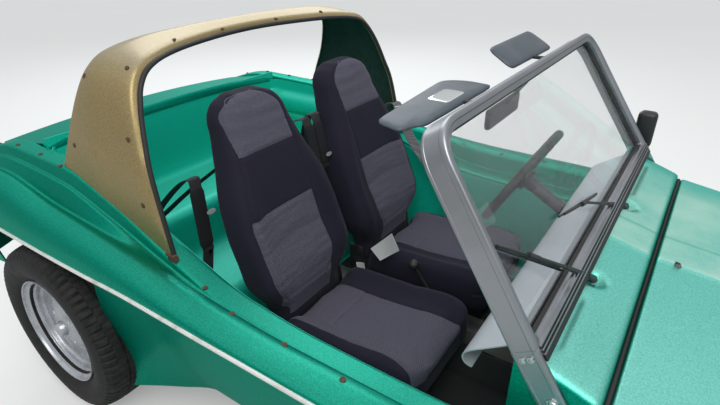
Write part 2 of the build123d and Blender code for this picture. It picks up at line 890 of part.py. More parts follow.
def front_beam():
    beam = beam_tubes[0] + beam_tubes[1]
    for y in (-beam_half_width + 8, -120, 120, beam_half_width - 8):
        upright = block(beam_x - 22, beam_x + 22, y - 6, y + 6, beam_lower_z, beam_upper_z)
        beam = beam + upright
    for y in (-beam_half_width + 8, beam_half_width - 8):
        beam = beam + block(beam_x - 30, beam_x + 10, y - 6, y + 6, beam_upper_z, 560)
    eye = plate(-tow_thickness / 2, tow_thickness / 2, [
        (beam_x + 10, beam_lower_z - 24), (beam_x + 10, beam_lower_z + 60), (beam_x + 60, beam_lower_z + 24),
        (tow_x, beam_lower_z + 24), (tow_x, beam_lower_z - 24),
    ])
    tip = rod((tow_x, -tow_thickness / 2, beam_lower_z), (tow_x, tow_thickness / 2, beam_lower_z), 24)
    hole = rod((tow_x, -20, beam_lower_z), (tow_x, 20, beam_lower_z), tow_hole_radius)
    return beam + eye + tip - hole


parts["front_beam"] = front_beam() - parts["steering_gear"] - parts["floor_pan"]

# Front trailing arms, with an upright carrier that holds each king pin
pin_z0 = 232.0
pin_z1 = 398.0
lug_thickness = 18.0


def front_arms():
    group = None
    near = front_axle_x - 20
    far = front_axle_x + 20
    for z in (beam_lower_z, beam_upper_z):
        boss = rod((beam_x, beam_half_width, z), (beam_x, beam_half_width + 48, z), 27)
        arm = plate(beam_half_width + 16, beam_half_width + 44, [
            (beam_x, z - 20), (beam_x, z + 20), (near, z + 16), (near, z - 16),
        ])
        foot = block(near - 2, far + 2, beam_half_width + 16, kingpin_y - 40, z - 16, z + 16)
        piece = boss + arm + foot
        group = piece if group is None else group + piece
    low = pin_z0 - lug_thickness
    high = pin_z1 + lug_thickness
    carrier = block(near, far, kingpin_y - 58, kingpin_y - 36, low, high)
    carrier += block(near, far, kingpin_y - 40, kingpin_y, low, pin_z0)
    carrier += block(near, far, kingpin_y - 40, kingpin_y, pin_z1, high)
    for z in (low, pin_z1):
        carrier += rod((front_axle_x, kingpin_y, z), (front_axle_x, kingpin_y, z + lug_thickness), 20)
    return group + carrier


parts["front_arms"] = Compound(both_sides(front_arms()))

# Knuckles: barrel on the king pin, stub axle, back plate and steering arm
rod_x = front_axle_x + steer_arm_length
rod_end_y = kingpin_y - steer_arm_offset
rod_end_radius = 13.0


def knuckle():
    hub_z = front_tyre_radius
    stub = hub_bore_radius - running_gap
    low = pin_z0 + running_gap
    high = pin_z1 - running_gap
    barrel = rod((front_axle_x, kingpin_y, low), (front_axle_x, kingpin_y, high), kingpin_radius)
    axle = rod((front_axle_x, kingpin_y, hub_z), (front_axle_x, front_wheel_y + 38, hub_z), stub)
    outer = front_backing_y + backing_thickness
    backing = rod((front_axle_x, front_backing_y, hub_z), (front_axle_x, outer, hub_z), drum_radius - 4)
    arm = extrude(level(rod_z - 7, [
        (front_axle_x, kingpin_y - 14), (front_axle_x, kingpin_y + 14),
        (rod_x, rod_end_y + 9), (rod_x, rod_end_y - 9),
    ]), amount=14, dir=(0, 0, 1))
    eye = rod((rod_x, rod_end_y, rod_z - 7), (rod_x, rod_end_y, rod_z + 7), rod_end_radius)
    return barrel + axle + backing + arm + eye


knuckle_left, knuckle_right = both_sides(knuckle())
parts["knuckle_left"] = knuckle_left
parts["knuckle_right"] = knuckle_right

# Track rod between the steering arms, with a ball joint end under each eye and at the drop arm
def track_rod():
    z = rod_z - 7 - running_gap - 10
    bar = rod((rod_x, -rod_end_y, z), (rod_x, rod_end_y, z), rod_radius)
    for y in (-rod_end_y, column_y, rod_end_y):
        bar = bar + rod((rod_x, y, z - 12), (rod_x, y, z + 10), rod_end_radius)
    return bar


parts["track_rod"] = track_rod()


def drop_arm():
    arm = block(rod_x, drop_x, column_y - 10, column_y + 10, rod_z - 7, rod_z + 7)
    eye = rod((rod_x, column_y, rod_z - 7), (rod_x, column_y, rod_z + 7), rod_end_radius)
    hub = rod((drop_x, column_y, rod_z - 7), (drop_x, column_y, rod_z + 40 - running_gap), 18)
    return arm + eye + hub


parts["drop_arm"] = drop_arm()

# Rear torsion bar housing with its fork towards the gearbox and the shock absorber towers
def torsion_housing():
    half = torsion_half_width
    tube = rod((torsion_x, -half, torsion_z), (torsion_x, half, torsion_z), torsion_radius)
    for side in (-1, 1):
        fork = plate(side * 165 - 15, side * 165 + 15, [
            (torsion_x, torsion_z - 30), (torsion_x, torsion_z + 30), (-905, 405), (-935, 405),
            (-935, 360), (-905, 340),
        ])
        middle = side * (half - 5)
        tower = plate(middle - 5, middle + 5, [
            (torsion_x + 20, torsion_z), (torsion_x - 45, torsion_z + 20), (-700, 396), (-700, 372),
            (torsion_x - 20, torsion_z - 20),
        ])
        tube = tube + fork + tower
    return tube + block(torsion_x + 40, -505, -62, 62, 235, 340)


parts["torsion_housing"] = torsion_housing() - parts["floor_pan"]
parts["cockpit_tub"] = parts["cockpit_tub"] - parts["torsion_housing"]

# Spring plates from the torsion bar ends back to the axle tubes
plate_y = torsion_half_width + 28
plate_thickness = 8.0
housing_rise = 30.0
housing_drop = 45.0


def spring_plate():
    boss = rod((torsion_x, torsion_half_width, torsion_z), (torsion_x, plate_y, torsion_z), 40)
    blade = plate(plate_y, plate_y + plate_thickness, [
        (torsion_x + 38, torsion_z - 34), (torsion_x + 38, torsion_z + 34),
        (rear_axle_x + 60, rear_tyre_radius + housing_rise),
        (rear_axle_x + 60, rear_tyre_radius - housing_drop),
        (torsion_x - 60, torsion_z - 40),
    ])
    return boss + blade


parts["spring_plates"] = Compound(both_sides(spring_plate()))

# Swing axle tubes with their bearing housings, back plates and wheel spindles
gearbox_half = 118.0


def axle_tube():
    z = rear_tyre_radius
    stub = hub_bore_radius - running_gap
    outer = rear_backing_y + backing_thickness
    tube = rod((rear_axle_x, gearbox_half, z), (rear_axle_x, rear_backing_y - 40, z), 34)
    low = z - housing_drop
    flange = block(rear_axle_x - 45, rear_axle_x + 60, plate_y - 30, plate_y, low, z + housing_rise)
    housing = rod((rear_axle_x, rear_backing_y - 60, z), (rear_axle_x, rear_backing_y, z), 52)
    backing = rod((rear_axle_x, rear_backing_y, z), (rear_axle_x, outer, z), drum_radius - 4)
    spindle = rod((rear_axle_x, rear_backing_y, z), (rear_axle_x, rear_wheel_y + 8, z), stub)
    return tube + flange + housing + backing + spindle


parts["axle_tubes"] = Compound(both_sides(axle_tube()))

# Gearbox and final drive
def transaxle():
    case = skin([
        across(torsion_x - 20, [(-45, 250), (45, 250), (60, 300), (45, 350), (-45, 350), (-60, 300)]),
        across(-880, [(-80, 235), (80, 235), (105, 320), (80, 390), (-80, 390), (-105, 320)]),
        across(-1090, [
            (-85, 225), (85, 225), (gearbox_half, 335), (85, 440), (-85, 440), (-gearbox_half, 335),
        ]),
        across(-1190, [(-150, 230), (150, 230), (190, 345), (150, 470), (-150, 470), (-190, 345)]),
    ])
    return case


parts["transaxle"] = transaxle() - parts["torsion_housing"] - Compound(
    [rod((rear_axle_x, s * gearbox_half, rear_tyre_radius), (rear_axle_x, s * 300, rear_tyre_radius), 34)
     for s in (-1, 1)]
)

# Flat-four engine: case, finned cylinders with heads, cooling shroud, pulley drive, carburettor, exhaust
cylinder_x = (-1330.0, -1445.0)
cylinder_length = 150.0
case_half = 130.0


def engine_case():
    case = block(-1530, -1190, -case_half, case_half, crank_z - 95, crank_z + 90)
    case = chamfer(case.edges().filter_by(Axis.X), 40)
    nose = rod((-1530, 0, crank_z), (-1548, 0, crank_z), 40)
    return case + nose


parts["engine_case"] = engine_case()


def cylinder_bank():
    barrels = []
    for x in cylinder_x:
        barrels.append(rod((x, case_half, crank_z), (x, case_half + cylinder_length, crank_z), 46))
    bank = barrels[0] + barrels[1]
    fin_count = 9
    for i in range(fin_count):
        y = case_half + 10 + i * (cylinder_length - 24) / (fin_count - 1)
        bank = bank + block(cylinder_x[1] - 56, cylinder_x[0] + 56, y, y + 5, crank_z - 56, crank_z + 56)
    rear, front = cylinder_x[1], cylinder_x[0]
    head = block(rear - 62, front + 62, case_half + cylinder_length, 360, crank_z - 62, crank_z + 60)
    cover = block(rear - 54, front + 54, 360, 392, crank_z - 52, crank_z + 44)
    cover = chamfer(cover.edges().filter_by(Axis.X), 14)
    return bank + head + cover


parts["cylinders"] = Compound(both_sides(cylinder_bank()))

shroud_x0 = -1418.0
shroud_x1 = -1318.0


def fan_shroud():
    outline = [
        (-345, crank_z + 62), (-345, crank_z + 120), (-215, crank_z + 175), (-165, crank_z + 300),
        (-100, crank_z + 390), (0, crank_z + 418), (100, crank_z + 390), (165, crank_z + 300),
        (215, crank_z + 175), (345, crank_z + 120), (345, crank_z + 62),
    ]
    shroud = extrude(across(shroud_x0, outline), amount=shroud_x1 - shroud_x0, dir=(1, 0, 0))
    return shroud - block(shroud_x0 - 5, shroud_x1 + 5, -case_half - 6, case_half + 6, crank_z, crank_z + 95)


parts["fan_shroud"] = fan_shroud() - parts["cylinders"]


def fan_drive():
    generator = rod((shroud_x0, 0, crank_z + 245), (-1560, 0, crank_z + 245), 52)
    stand = block(-1500, -1450, -40, 40, crank_z + 90, crank_z + 205)
    pulley = rod((-1560, 0, crank_z + 245), (-1578, 0, crank_z + 245), 55)
    crank = rod((-1548, 0, crank_z), (-1578, 0, crank_z), 88)
    belt = band([(-83, crank_z), (-52, crank_z + 245)], 8.0)
    belts = extrude(across(-1563, belt), amount=12, dir=(-1, 0, 0))
    belts = belts + mirror(belts, about=Plane.XZ)
    return generator + stand + pulley + crank + belts


parts["fan_drive"] = fan_drive() - parts["engine_case"]


silencer_x = -1630.0


def exhaust():
    pipes = None
    for side in (-1, 1):
        bend = (cylinder_x[1] - 50, side * 320, crank_z - 110)
        port = rod((cylinder_x[1], side * 320, crank_z - 60), bend, 20)
        run = rod(bend, (silencer_x - 10, side * 250, crank_z - 120), 20)
        pair = port + run
        pipes = pair if pipes is None else pipes + pair
    silencer = rod((silencer_x, -300, crank_z - 125), (silencer_x, 300, crank_z - 125), 50)
    tips = None
    for side in (-1, 1):
        start = (silencer_x + 15, side * 120, crank_z - 130)
        tip = rod(start, (silencer_x - 60, side * 120, crank_z - 130), 20)
        tips = tip if tips is None else tips + tip
    return pipes + silencer + tips


parts["exhaust"] = exhaust() - parts["cylinders"]

# Shock absorbers
def dampers():
    front_top = (beam_x + 10, beam_half_width + 24, 545)
    front_low = (front_axle_x + 15, beam_half_width + 58, beam_lower_z + 20)
    front = rod(front_top, front_low, 22) + rod((beam_x + 10, beam_half_width - 2, 545), front_top, 10)
    rear_low = (rear_axle_x + 40, torsion_half_width - 10, rear_tyre_radius + 20)
    rear_top = (-700, torsion_half_width + 12, 384)
    rear = rod(rear_low, rear_top, 22)
    return both_sides(front) + both_sides(rear)


carriers = [
    parts[name] for name in ("front_beam", "front_arms", "torsion_housing", "axle_tubes", "spring_plates")
]


def trimmed(shape, others):
    for other in others:
        shape = shape - other
    return shape


parts["dampers"] = Compound([trimmed(d, carriers) for d in dampers()])

# Wheels: stepped deep-dish steel rims with their drums, and plain road tyres
def rim_outline(half, dish, bore, drum_y0):
    """Barrel, stepped disc and drum as one ring, (y from the rim's middle, radius); outside is +y."""
    lip = rim_lip_radius
    barrel = rim_barrel_radius
    t = rim_metal
    face = half - dish
    return [
        (-half, lip), (-half, lip - t), (-half + 12, barrel - t), (face - 8, barrel - t),
        (face + 2, 148), (face + 2, drum_radius), (drum_y0, drum_radius), (drum_y0, bore),
        (face + 34, bore), (face + 34, 38), (face + 14, 62), (face + 10, 148), (face, barrel - t),
        (half - 14, barrel - t), (half - 8, lip - t), (half, lip - t), (half, lip),
        (half - 12, lip), (half - 18, barrel), (-half + 18, barrel), (-half + 12, lip),
    ]


def tyre_outline(radius, width, rim_width):
    half = width / 2
    side = [
        (rim_width / 2 - 18, rim_barrel_radius + 1),
        (half - 20, rim_lip_radius + 8),
        (half, radius - 62),
        (half - 14, radius - 15),
        (half - 44, radius),
    ]
    return side + [(-y, r) for y, r in side[::-1]]


wheel_rows = (
    ("rear_left", rear_axle_x, rear_wheel_y, rear_tyre_radius, rear_tyre_width, rear_rim_width, 66),
    ("rear_right", rear_axle_x, -rear_wheel_y, rear_tyre_radius, rear_tyre_width, rear_rim_width, 66),
    ("front_left", front_axle_x, front_wheel_y, front_tyre_radius, front_tyre_width, front_rim_width, 48),
    ("front_right", front_axle_x, -front_wheel_y, front_tyre_radius, front_tyre_width, front_rim_width, 48),
)

for name, x, y, radius, width, rim_width, dish in wheel_rows:
    side = 1 if y > 0 else -1
    backing = (rear_backing_y if x < 0 else front_backing_y) + backing_thickness + shut_gap
    outline = rim_outline(rim_width / 2, dish, hub_bore_radius, backing - abs(y))
    rim = turned(x, radius, [(y + side * v, r) for v, r in outline])
    tyre = turned(x, radius, [(y + side * v, r) for v, r in tyre_outline(radius, width, rim_width)])
    parts[f"rim_{name}"] = rim
    parts[f"tyre_{name}"] = tyre - rim

# Seats: runners and box frames on the floor, cushions and high backrests
seat_half = 232.0
cushion_rear = -238.0
back_low_half = 180.0
bracket_wall = 8.0
cushion_front = 292.0


def seat_frame(y):
    half = back_low_half + seat_gap + bracket_wall
    base = block(-190, 210, y - half, y + half, floor_top, seat_base_z)
    hollow = block(-170, 190, y - half + 12, y + half - 12, floor_top - 10, seat_base_z - 12)
    frame = base - hollow
    for side in (-1, 1):
        inner = y + side * (back_low_half + seat_gap)
        low, high = sorted((inner, inner + side * bracket_wall))
        frame = frame + plate(low, high, [
            (-185, 300), (-185, 345), (-248, 380), (-262, 480), (-322, 480), (-322, 330), (-300, 300),
        ])
    return frame


def cushion(y):
    half = seat_half
    z = seat_base_z + seat_gap
    side = plate(y - half, y + half, [
        (cushion_rear, z), (cushion_front - 40, z), (cushion_front, z + 30), (cushion_front, z + 110),
        (cushion_front - 25, z + 145), (60, z + 125), (cushion_rear + 25, z + 95), (cushion_rear, z + 60),
    ])
    return chamfer(side.edges().filter_by(Axis.Y).group_by(Axis.Z)[-1], 12)


# Backrest levels: z, rear x, front x, half width
back_levels = (
    (400, -320, cushion_rear - seat_gap, back_low_half),
    (482, -338, cushion_rear - seat_gap, back_low_half),
    (600, -375, -215, 236),
    (840, -460, -305, 232),
    (980, -510, -375, 190),
    (1100, -548, -440, 135),
    (1180, -562, -480, 110),
)


def backrest(y):
    faces = []
    for z, x0, x1, half in back_levels:
        cut = 30
        faces.append(level(z, [
            (x0, y - half + cut), (x0 + cut, y - half), (x1 - cut, y - half), (x1, y - half + cut),
            (x1, y + half - cut), (x1 - cut, y + half), (x0 + cut, y + half), (x0, y + half - cut),
        ]))
    return skin(faces)


parts["seat_frames"] = Compound([seat_frame(s * seat_y) for s in (-1, 1)])
parts["seat_cushions"] = Compound([cushion(s * seat_y) for s in (-1, 1)])
parts["seat_backrests"] = Compound([backrest(s * seat_y) for s in (-1, 1)])

# Seat belts: two padded shoulder belts behind each backrest, their lower ends and their anchors.
# Columns are z, x, y from the middle of the car, half width and thickness
outer_belt_levels = (
    (926, -497, tub_half_width - 100, 20, 6),
    (902, -495, tub_half_width - 100, 30, 14),
    (715, -478, tub_half_width - 96, 30, 14),
    (698, -476, tub_half_width - 94, 22, 5),
    (560, -468, tub_half_width - 60, 22, 5),
    (400, -462, tub_half_width - 34, 22, 5),
)
inner_belt_levels = (
    (926, -497, 38, 20, 6),
    (902, -495, 38, 30, 14),
    (715, -478, 40, 30, 14),
    (698, -476, 42, 22, 5),
    (560, -515, 44, 22, 5),
    (399, -560, 46, 22, 5),
)
webbing_half = 22.0
webbing = 4.0


def shoulder_belt(levels):
    faces = []
    for z, x, y, half, thickness in levels:
        t = thickness / 2
        faces.append(level(z, [(x - t, y - half), (x + t, y - half), (x + t, y + half), (x - t, y + half)]))
    return skin(faces)


def seat_belt():
    wall_y = tub_half_width - body_wall
    outer = shoulder_belt(outer_belt_levels) + block(-488, -436, wall_y - 10, wall_y, 385, 440)
    inner = shoulder_belt(inner_belt_levels) - parts["cockpit_tub"]
    shelf_rear, shelf_edge, step_low = shelf_line[2:5]
    slope = (shelf_edge[1] - shelf_rear[1]) / (shelf_edge[0] - shelf_rear[0])
    rear = (shelf_edge[0] - 35, shelf_edge[1] - 35 * slope)
    low = (step_low[0] - 4, step_low[1] + 25)
    anchor_y = tub_half_width - 141
    lap = plate(anchor_y - webbing_half, anchor_y + webbing_half, band([rear, shelf_edge, low], -webbing))
    return [top_solid(outer), top_solid(inner), lap - parts["cockpit_tub"]]


belts = [half for piece in seat_belt() for half in both_sides(piece)]
parts["seat_belts"] = Compound(belts)

# Hand controls on the tunnel, and pedals
def hand_controls():
    gear = rod((130, 0, tunnel_top_z + 8), (24, 0, 532), 6) + (Pos(14, 0, 544) * Sphere(20))
    gate = block(105, 195, -24, 24, tunnel_top_z, tunnel_top_z + 14)
    brake = rod((-60, 0, tunnel_top_z + 12), (120, 0, tunnel_top_z + 70), 10)
    mount = block(-90, -30, -22, 22, tunnel_top_z, tunnel_top_z + 24)
    return trimmed(gear + gate, [parts["floor_pan"]]), trimmed(brake + mount, [parts["floor_pan"]])


parts["hand_controls"] = Compound(list(hand_controls()))


def pedal(y, x, wide):
    foot = block(x - 10, x + 30, y - 12, y + 12, floor_top, floor_top + 20)
    stem = rod((x + 10, y, floor_top + 10), (x - 30, y, floor_top + 150), 7)
    pad = block(x - 48, x - 30, y - wide, y + wide, floor_top + 130, floor_top + 190)
    return foot + stem + pad


parts["pedals"] = Compound([pedal(150, 640, 22), pedal(240, 640, 32), pedal(350, 640, 32)])

# Fuel tank on the front floor
parts["fuel_tank"] = fillet(block(770, 1080, -215, 215, 470, 690).edges(), 25)

# Headlamps on the wings
lamp_y = body_half_width - 225
lamp_x = 1455.0
lamp_radius = 88.0
lamp_z = 742.0


def headlamp():
    face = along(lamp_y, [
        (lamp_x, lamp_z), (lamp_x, lamp_z + lamp_radius - 6), (lamp_x - 12, lamp_z + lamp_radius),
        (lamp_x - 60, lamp_z + 74), (lamp_x - 105, lamp_z + 44), (lamp_x - 122, lamp_z),
    ])
    bowl = revolve(face, axis=Axis((lamp_x, lamp_y, lamp_z), (1, 0, 0)), revolution_arc=360)
    foot = rod((lamp_x - 55, lamp_y, lamp_z - 130), (lamp_x - 55, lamp_y, lamp_z - 40), 24)
    return (bowl + foot) - parts["front_body"]


def solids_above(shape, z):
    keep = [s for s in shape.solids() if s.bounding_box().max.Z > z]
    return keep


headlamps = []
for piece in both_sides(headlamp()):
    headlamps += solids_above(piece, lamp_z)
parts["headlamps"] = Compound(headlamps)

# Tail lamps and indicators
def small_lamps():
    lamps = []
    lamp_row_y = body_half_width - 125
    for y in (-lamp_row_y, lamp_row_y):
        lamps.append(rod((tail_x - body_wall, y, 640), (tail_x - body_wall - 28, y, 640), 44))
        lamps.append(rod((tail_x - body_wall, y, 555), (tail_x - body_wall - 22, y, 555), 26))
    return lamps


parts["small_lamps"] = Compound(small_lamps())

# Bumpers
bumper_x = 1668.0
bumper_z = 400.0


def front_bumper():
    bar = rod((bumper_x, -420, bumper_z), (bumper_x, 420, bumper_z), 22)
    for y in (-200, 200):
        bar = bar + rod((beam_x + 20, y, 330), (bumper_x, y, bumper_z), 14)
    return bar


parts["bumpers"] = trimmed(front_bumper(), [parts["front_body"], parts["front_beam"]])

# Mirrors: one on the driver's screen pillar, one inside at the top rail
def mirrors():
    pillar_y = screen_bottom_half
    pad = block(548, 612, pillar_y + 38, pillar_y + 86, 905, 1040)
    pad = fillet(pad.edges(), 18)
    arm = rod((598, pillar_y - 2, 860), (580, pillar_y + 60, 940), 7)
    inner = fillet(block(232, 252, -115, 115, 1130, 1190).edges().filter_by(Axis.X), 20)
    stalk = rod((245, 0, 1165), (322, 0, 1265), 6)
    return [
        trimmed(pad + arm, [parts["windscreen_frame"], parts["scuttle"]]),
        trimmed(inner + stalk, [parts["windscreen_frame"], parts["windscreen_glass"]]),
    ]


parts["mirrors"] = Compound(mirrors())

for name, shape in parts.items():
    export_step(shape, f"parts/{name}.step")
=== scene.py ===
import json
import math

import bmesh
import bpy
import numpy as np
from mathutils import Matrix, Vector, noise

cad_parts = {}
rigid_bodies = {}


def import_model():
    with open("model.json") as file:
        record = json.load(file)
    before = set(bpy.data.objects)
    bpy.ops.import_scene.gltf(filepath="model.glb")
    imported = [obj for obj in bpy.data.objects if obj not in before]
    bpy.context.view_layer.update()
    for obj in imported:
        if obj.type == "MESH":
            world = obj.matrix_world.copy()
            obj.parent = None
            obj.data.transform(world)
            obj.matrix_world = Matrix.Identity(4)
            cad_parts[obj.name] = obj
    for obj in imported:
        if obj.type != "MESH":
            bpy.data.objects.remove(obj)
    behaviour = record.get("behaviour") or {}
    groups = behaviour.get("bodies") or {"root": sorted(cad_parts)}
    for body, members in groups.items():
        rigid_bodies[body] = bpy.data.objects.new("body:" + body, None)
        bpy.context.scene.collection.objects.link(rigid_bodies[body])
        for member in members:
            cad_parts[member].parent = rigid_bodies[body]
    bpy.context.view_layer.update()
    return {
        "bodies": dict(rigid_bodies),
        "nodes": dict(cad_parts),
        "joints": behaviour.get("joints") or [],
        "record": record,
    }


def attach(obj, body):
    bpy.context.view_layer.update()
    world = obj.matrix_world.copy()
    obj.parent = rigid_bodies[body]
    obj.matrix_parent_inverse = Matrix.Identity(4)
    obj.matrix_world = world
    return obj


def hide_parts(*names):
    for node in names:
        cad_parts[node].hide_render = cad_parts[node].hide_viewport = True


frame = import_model()
nodes = frame["nodes"]

# Camera, floor and light
# The car stands on a plain pale floor in soft light from above, seen over its right front wing
# as a standing person sees it. None of this is part of the car.
eye = Vector((0.735, -1.414, 1.632))
heading = math.radians(34.09)
dip = math.radians(27.83)
gaze = Vector((-math.sin(heading) * math.cos(dip), math.cos(heading) * math.cos(dip), -math.sin(dip)))


def new_object(name, data):
    """An object with this data, put into the scene."""
    made = bpy.data.objects.new(name, data)
    bpy.context.scene.collection.objects.link(made)
    return made


camera_data = bpy.data.cameras.new("camera")
camera_data.lens = 26.1
camera = new_object("camera", camera_data)
camera.location = eye
camera.rotation_euler = gaze.to_track_quat("-Z", "Y").to_euler()
bpy.context.scene.camera = camera
bpy.context.scene.view_settings.view_transform = "Standard"


def node(tree, kind, inputs=None, **settings):
    """Adds a shader node; an input is a number, a colour or another node's socket."""
    made = tree.nodes.new(kind)
    for key, value in settings.items():
        setattr(made, key, value)
    for key, value in (inputs or {}).items():
        socket = made.inputs[key]
        if isinstance(value, bpy.types.NodeSocket):
            tree.links.new(value, socket)
        else:
            socket.default_value = value
    return made


def new_material(name, colour, roughness, metallic=0.0, more=None):
    """A node material with its tree, its shader and the place on the car as a socket."""
    made = bpy.data.materials.new(name)
    made.use_nodes = True
    tree = made.node_tree
    shader = tree.nodes["Principled BSDF"]
    values = {"Base Color": (*colour, 1), "Roughness": roughness, "Metallic": metallic, **(more or {})}
    for key, value in values.items():
        shader.inputs[key].default_value = value
    place = node(tree, "ShaderNodeTexCoord").outputs["Object"]
    return made, tree, shader, place


def grain(tree, place, scale, detail=2.0, roughness=0.5):
    """Soft random cloud, 0 to 1, with patches about 1/scale metres wide."""
    inputs = {"Vector": place, "Scale": scale, "Detail": detail, "Roughness": roughness}
    return node(tree, "ShaderNodeTexNoise", inputs).outputs["Fac"]


def steep(tree, factor, low, high, at_low=0.0, at_high=1.0):
    """Stretches the part of a value between low and high to 0 to 1, or to another range."""
    return node(tree, "ShaderNodeMapRange", {"Value": factor, "From Min": low, "From Max": high,
                                             "To Min": at_low, "To Max": at_high}).outputs["Result"]


def calculate(tree, kind, a, b=0.0):
    """One step of arithmetic; a and b are sockets or numbers."""
    return node(tree, "ShaderNodeMath", {0: a, 1: b}, operation=kind).outputs[0]


def blend_colours(tree, factor, first, second):
    """Colour between two, by a factor socket; each is a socket or three numbers."""
    made = node(tree, "ShaderNodeMix", {"Factor": factor}, data_type="RGBA")
    for index, colour in ((6, first), (7, second)):
        if isinstance(colour, bpy.types.NodeSocket):
            tree.links.new(colour, made.inputs[index])
        else:
            made.inputs[index].default_value = (*colour, 1)
    return made.outputs[2]


def set_bump(tree, shader, height, distance, strength=1.0):
    """Bump on a shader from a height socket; distance is the relief in metres."""
    bump = node(tree, "ShaderNodeBump", {"Height": height, "Distance": distance, "Strength": strength})
    tree.links.new(bump.outputs["Normal"], shader.inputs["Normal"])


def set_colour(tree, shader, socket):
    tree.links.new(socket, shader.inputs["Base Color"])


def set_roughness(tree, shader, factor, low, high):
    """Roughness that goes from low to high with a factor socket."""
    tree.links.new(steep(tree, factor, 0.0, 1.0, low, high), shader.inputs["Roughness"])


def new_mesh(name, points, faces):
    mesh = bpy.data.meshes.new(name)
    mesh.from_pydata([tuple(p) for p in points], [], faces)
    return mesh


def lay_floor():
    reach = 30.0
    corners = [(-reach, -reach, 0), (reach, -reach, 0), (reach, reach, 0), (-reach, reach, 0)]
    mesh = new_mesh("floor", corners, [(0, 1, 2, 3)])
    made, tree, shader, place = new_material("floor_pale", (0.66, 0.66, 0.66), 0.9)
    cloud = grain(tree, place, 0.8)
    set_colour(tree, shader, blend_colours(tree, cloud, (0.65, 0.65, 0.645), (0.68, 0.68, 0.68)))
    seen = node(tree, "ShaderNodeLightPath").outputs["Is Camera Ray"]
    shader.inputs["Emission Color"].default_value = (1, 1, 1, 1)
    tree.links.new(calculate(tree, "MULTIPLY", seen, 0.26), shader.inputs["Emission Strength"])
    mesh.materials.append(made)
    floor = new_object("floor", mesh)


lay_floor()


def light_sky():
    """A pale overcast sky, brightest overhead; the camera sees an even pale backdrop."""
    world = bpy.data.worlds.new("sky")
    world.use_nodes = True
    bpy.context.scene.world = world
    tree = world.node_tree
    back = tree.nodes["Background"]
    up = node(tree, "ShaderNodeTexCoord").outputs["Generated"]
    height = node(tree, "ShaderNodeSeparateXYZ", {"Vector": up}).outputs["Z"]
    sky = blend_colours(tree, steep(tree, height, 0.0, 0.85), (0.40, 0.42, 0.44), (0.96, 1.0, 1.0))
    rays = node(tree, "ShaderNodeLightPath").outputs
    seen = calculate(tree, "MAXIMUM", rays["Is Camera Ray"], rays["Is Transmission Ray"])
    tree.links.new(blend_colours(tree, seen, sky, (0.86, 0.87, 0.88)), back.inputs["Color"])
    bright = calculate(tree, "MAXIMUM", seen, rays["Is Glossy Ray"])
    tree.links.new(steep(tree, bright, 0.0, 1.0, 0.72, 0.98), back.inputs["Strength"])


def hang_lamp(name, spot, target, size, power, colour):
    data = bpy.data.lights.new(name, "AREA")
    data.size, data.energy, data.color = size, power, colour
    lamp = new_object(name, data)
    lamp.location = spot
    lamp.rotation_euler = (Vector(target) - Vector(spot)).to_track_quat("-Z", "Y").to_euler()


light_sky()
middle_of_car = (-0.2, 0, 0.6)
hang_lamp("key_light", (1.8, -2.6, 4.6), middle_of_car, 3.4, 135, (1.0, 0.99, 0.97))
hang_lamp("fill_light", (-3.6, 3.4, 4.2), middle_of_car, 4.0, 110, (0.95, 0.98, 1.0))

# Floor pan and backbone tunnel
# Two pressed steel pans each side of a folded tunnel, with the narrow frame head in front; satin
# black paint outside, with short black carpet laid over the pans inside the cabin.
black_paint_colour = (0.018, 0.018, 0.020)
road_dust_colour = (0.085, 0.075, 0.062)


def surface(name, colour, roughness, metallic=0.0, cloud=(), fade=None, colours=None, gloss=None, pits=None,
            relief=0.0, more=None):
    """A finish that is worn in soft patches.

    cloud is the grain of the patches (scale, detail, roughness) and fade the part of it that counts; over
    them the finish goes between two colours and two values of roughness. relief is the height of a fine
    bump in metres, from the grain in pits, or else from the patches.
    """
    made, tree, shader, place = new_material(name, colour, roughness, metallic, more)
    patches = grain(tree, place, *cloud)
    if fade:
        patches = steep(tree, patches, *fade)
    if colours:
        set_colour(tree, shader, blend_colours(tree, patches, *colours))
    if gloss:
        set_roughness(tree, shader, patches, *gloss)
    if relief:
        set_bump(tree, shader, grain(tree, place, *pits) if pits else patches, relief)
    return made


chassis_black = surface("black_chassis_paint", black_paint_colour, 0.45, cloud=(14, 4), fade=(0.48, 0.75),
                        colours=(black_paint_colour, road_dust_colour), gloss=(0.38, 0.75), pits=(320, 3),
                        relief=0.0006)


def round_edges(piece, width, angle):
    """Narrow live bevels on the edges above an angle in degrees."""
    edge = piece.modifiers.new("bevel", "BEVEL")
    edge.width = width
    edge.segments = 2
    edge.limit_method = "ANGLE"
    edge.angle_limit = math.radians(angle)


def dress(name, finish, bevel=0.0015):
    """Gives a CAD node its finish, soft shading on its curves and narrow bevels on its edges."""
    piece = nodes[name]
    if not piece.material_slots:
        piece.data.materials.append(finish)
    for place in piece.material_slots:
        place.material = finish
    weld = piece.modifiers.new("weld", "WELD")
    weld.merge_threshold = 0.00005
    if bevel:
        round_edges(piece, bevel, 32)
    smooth_by_angle(piece, 32)


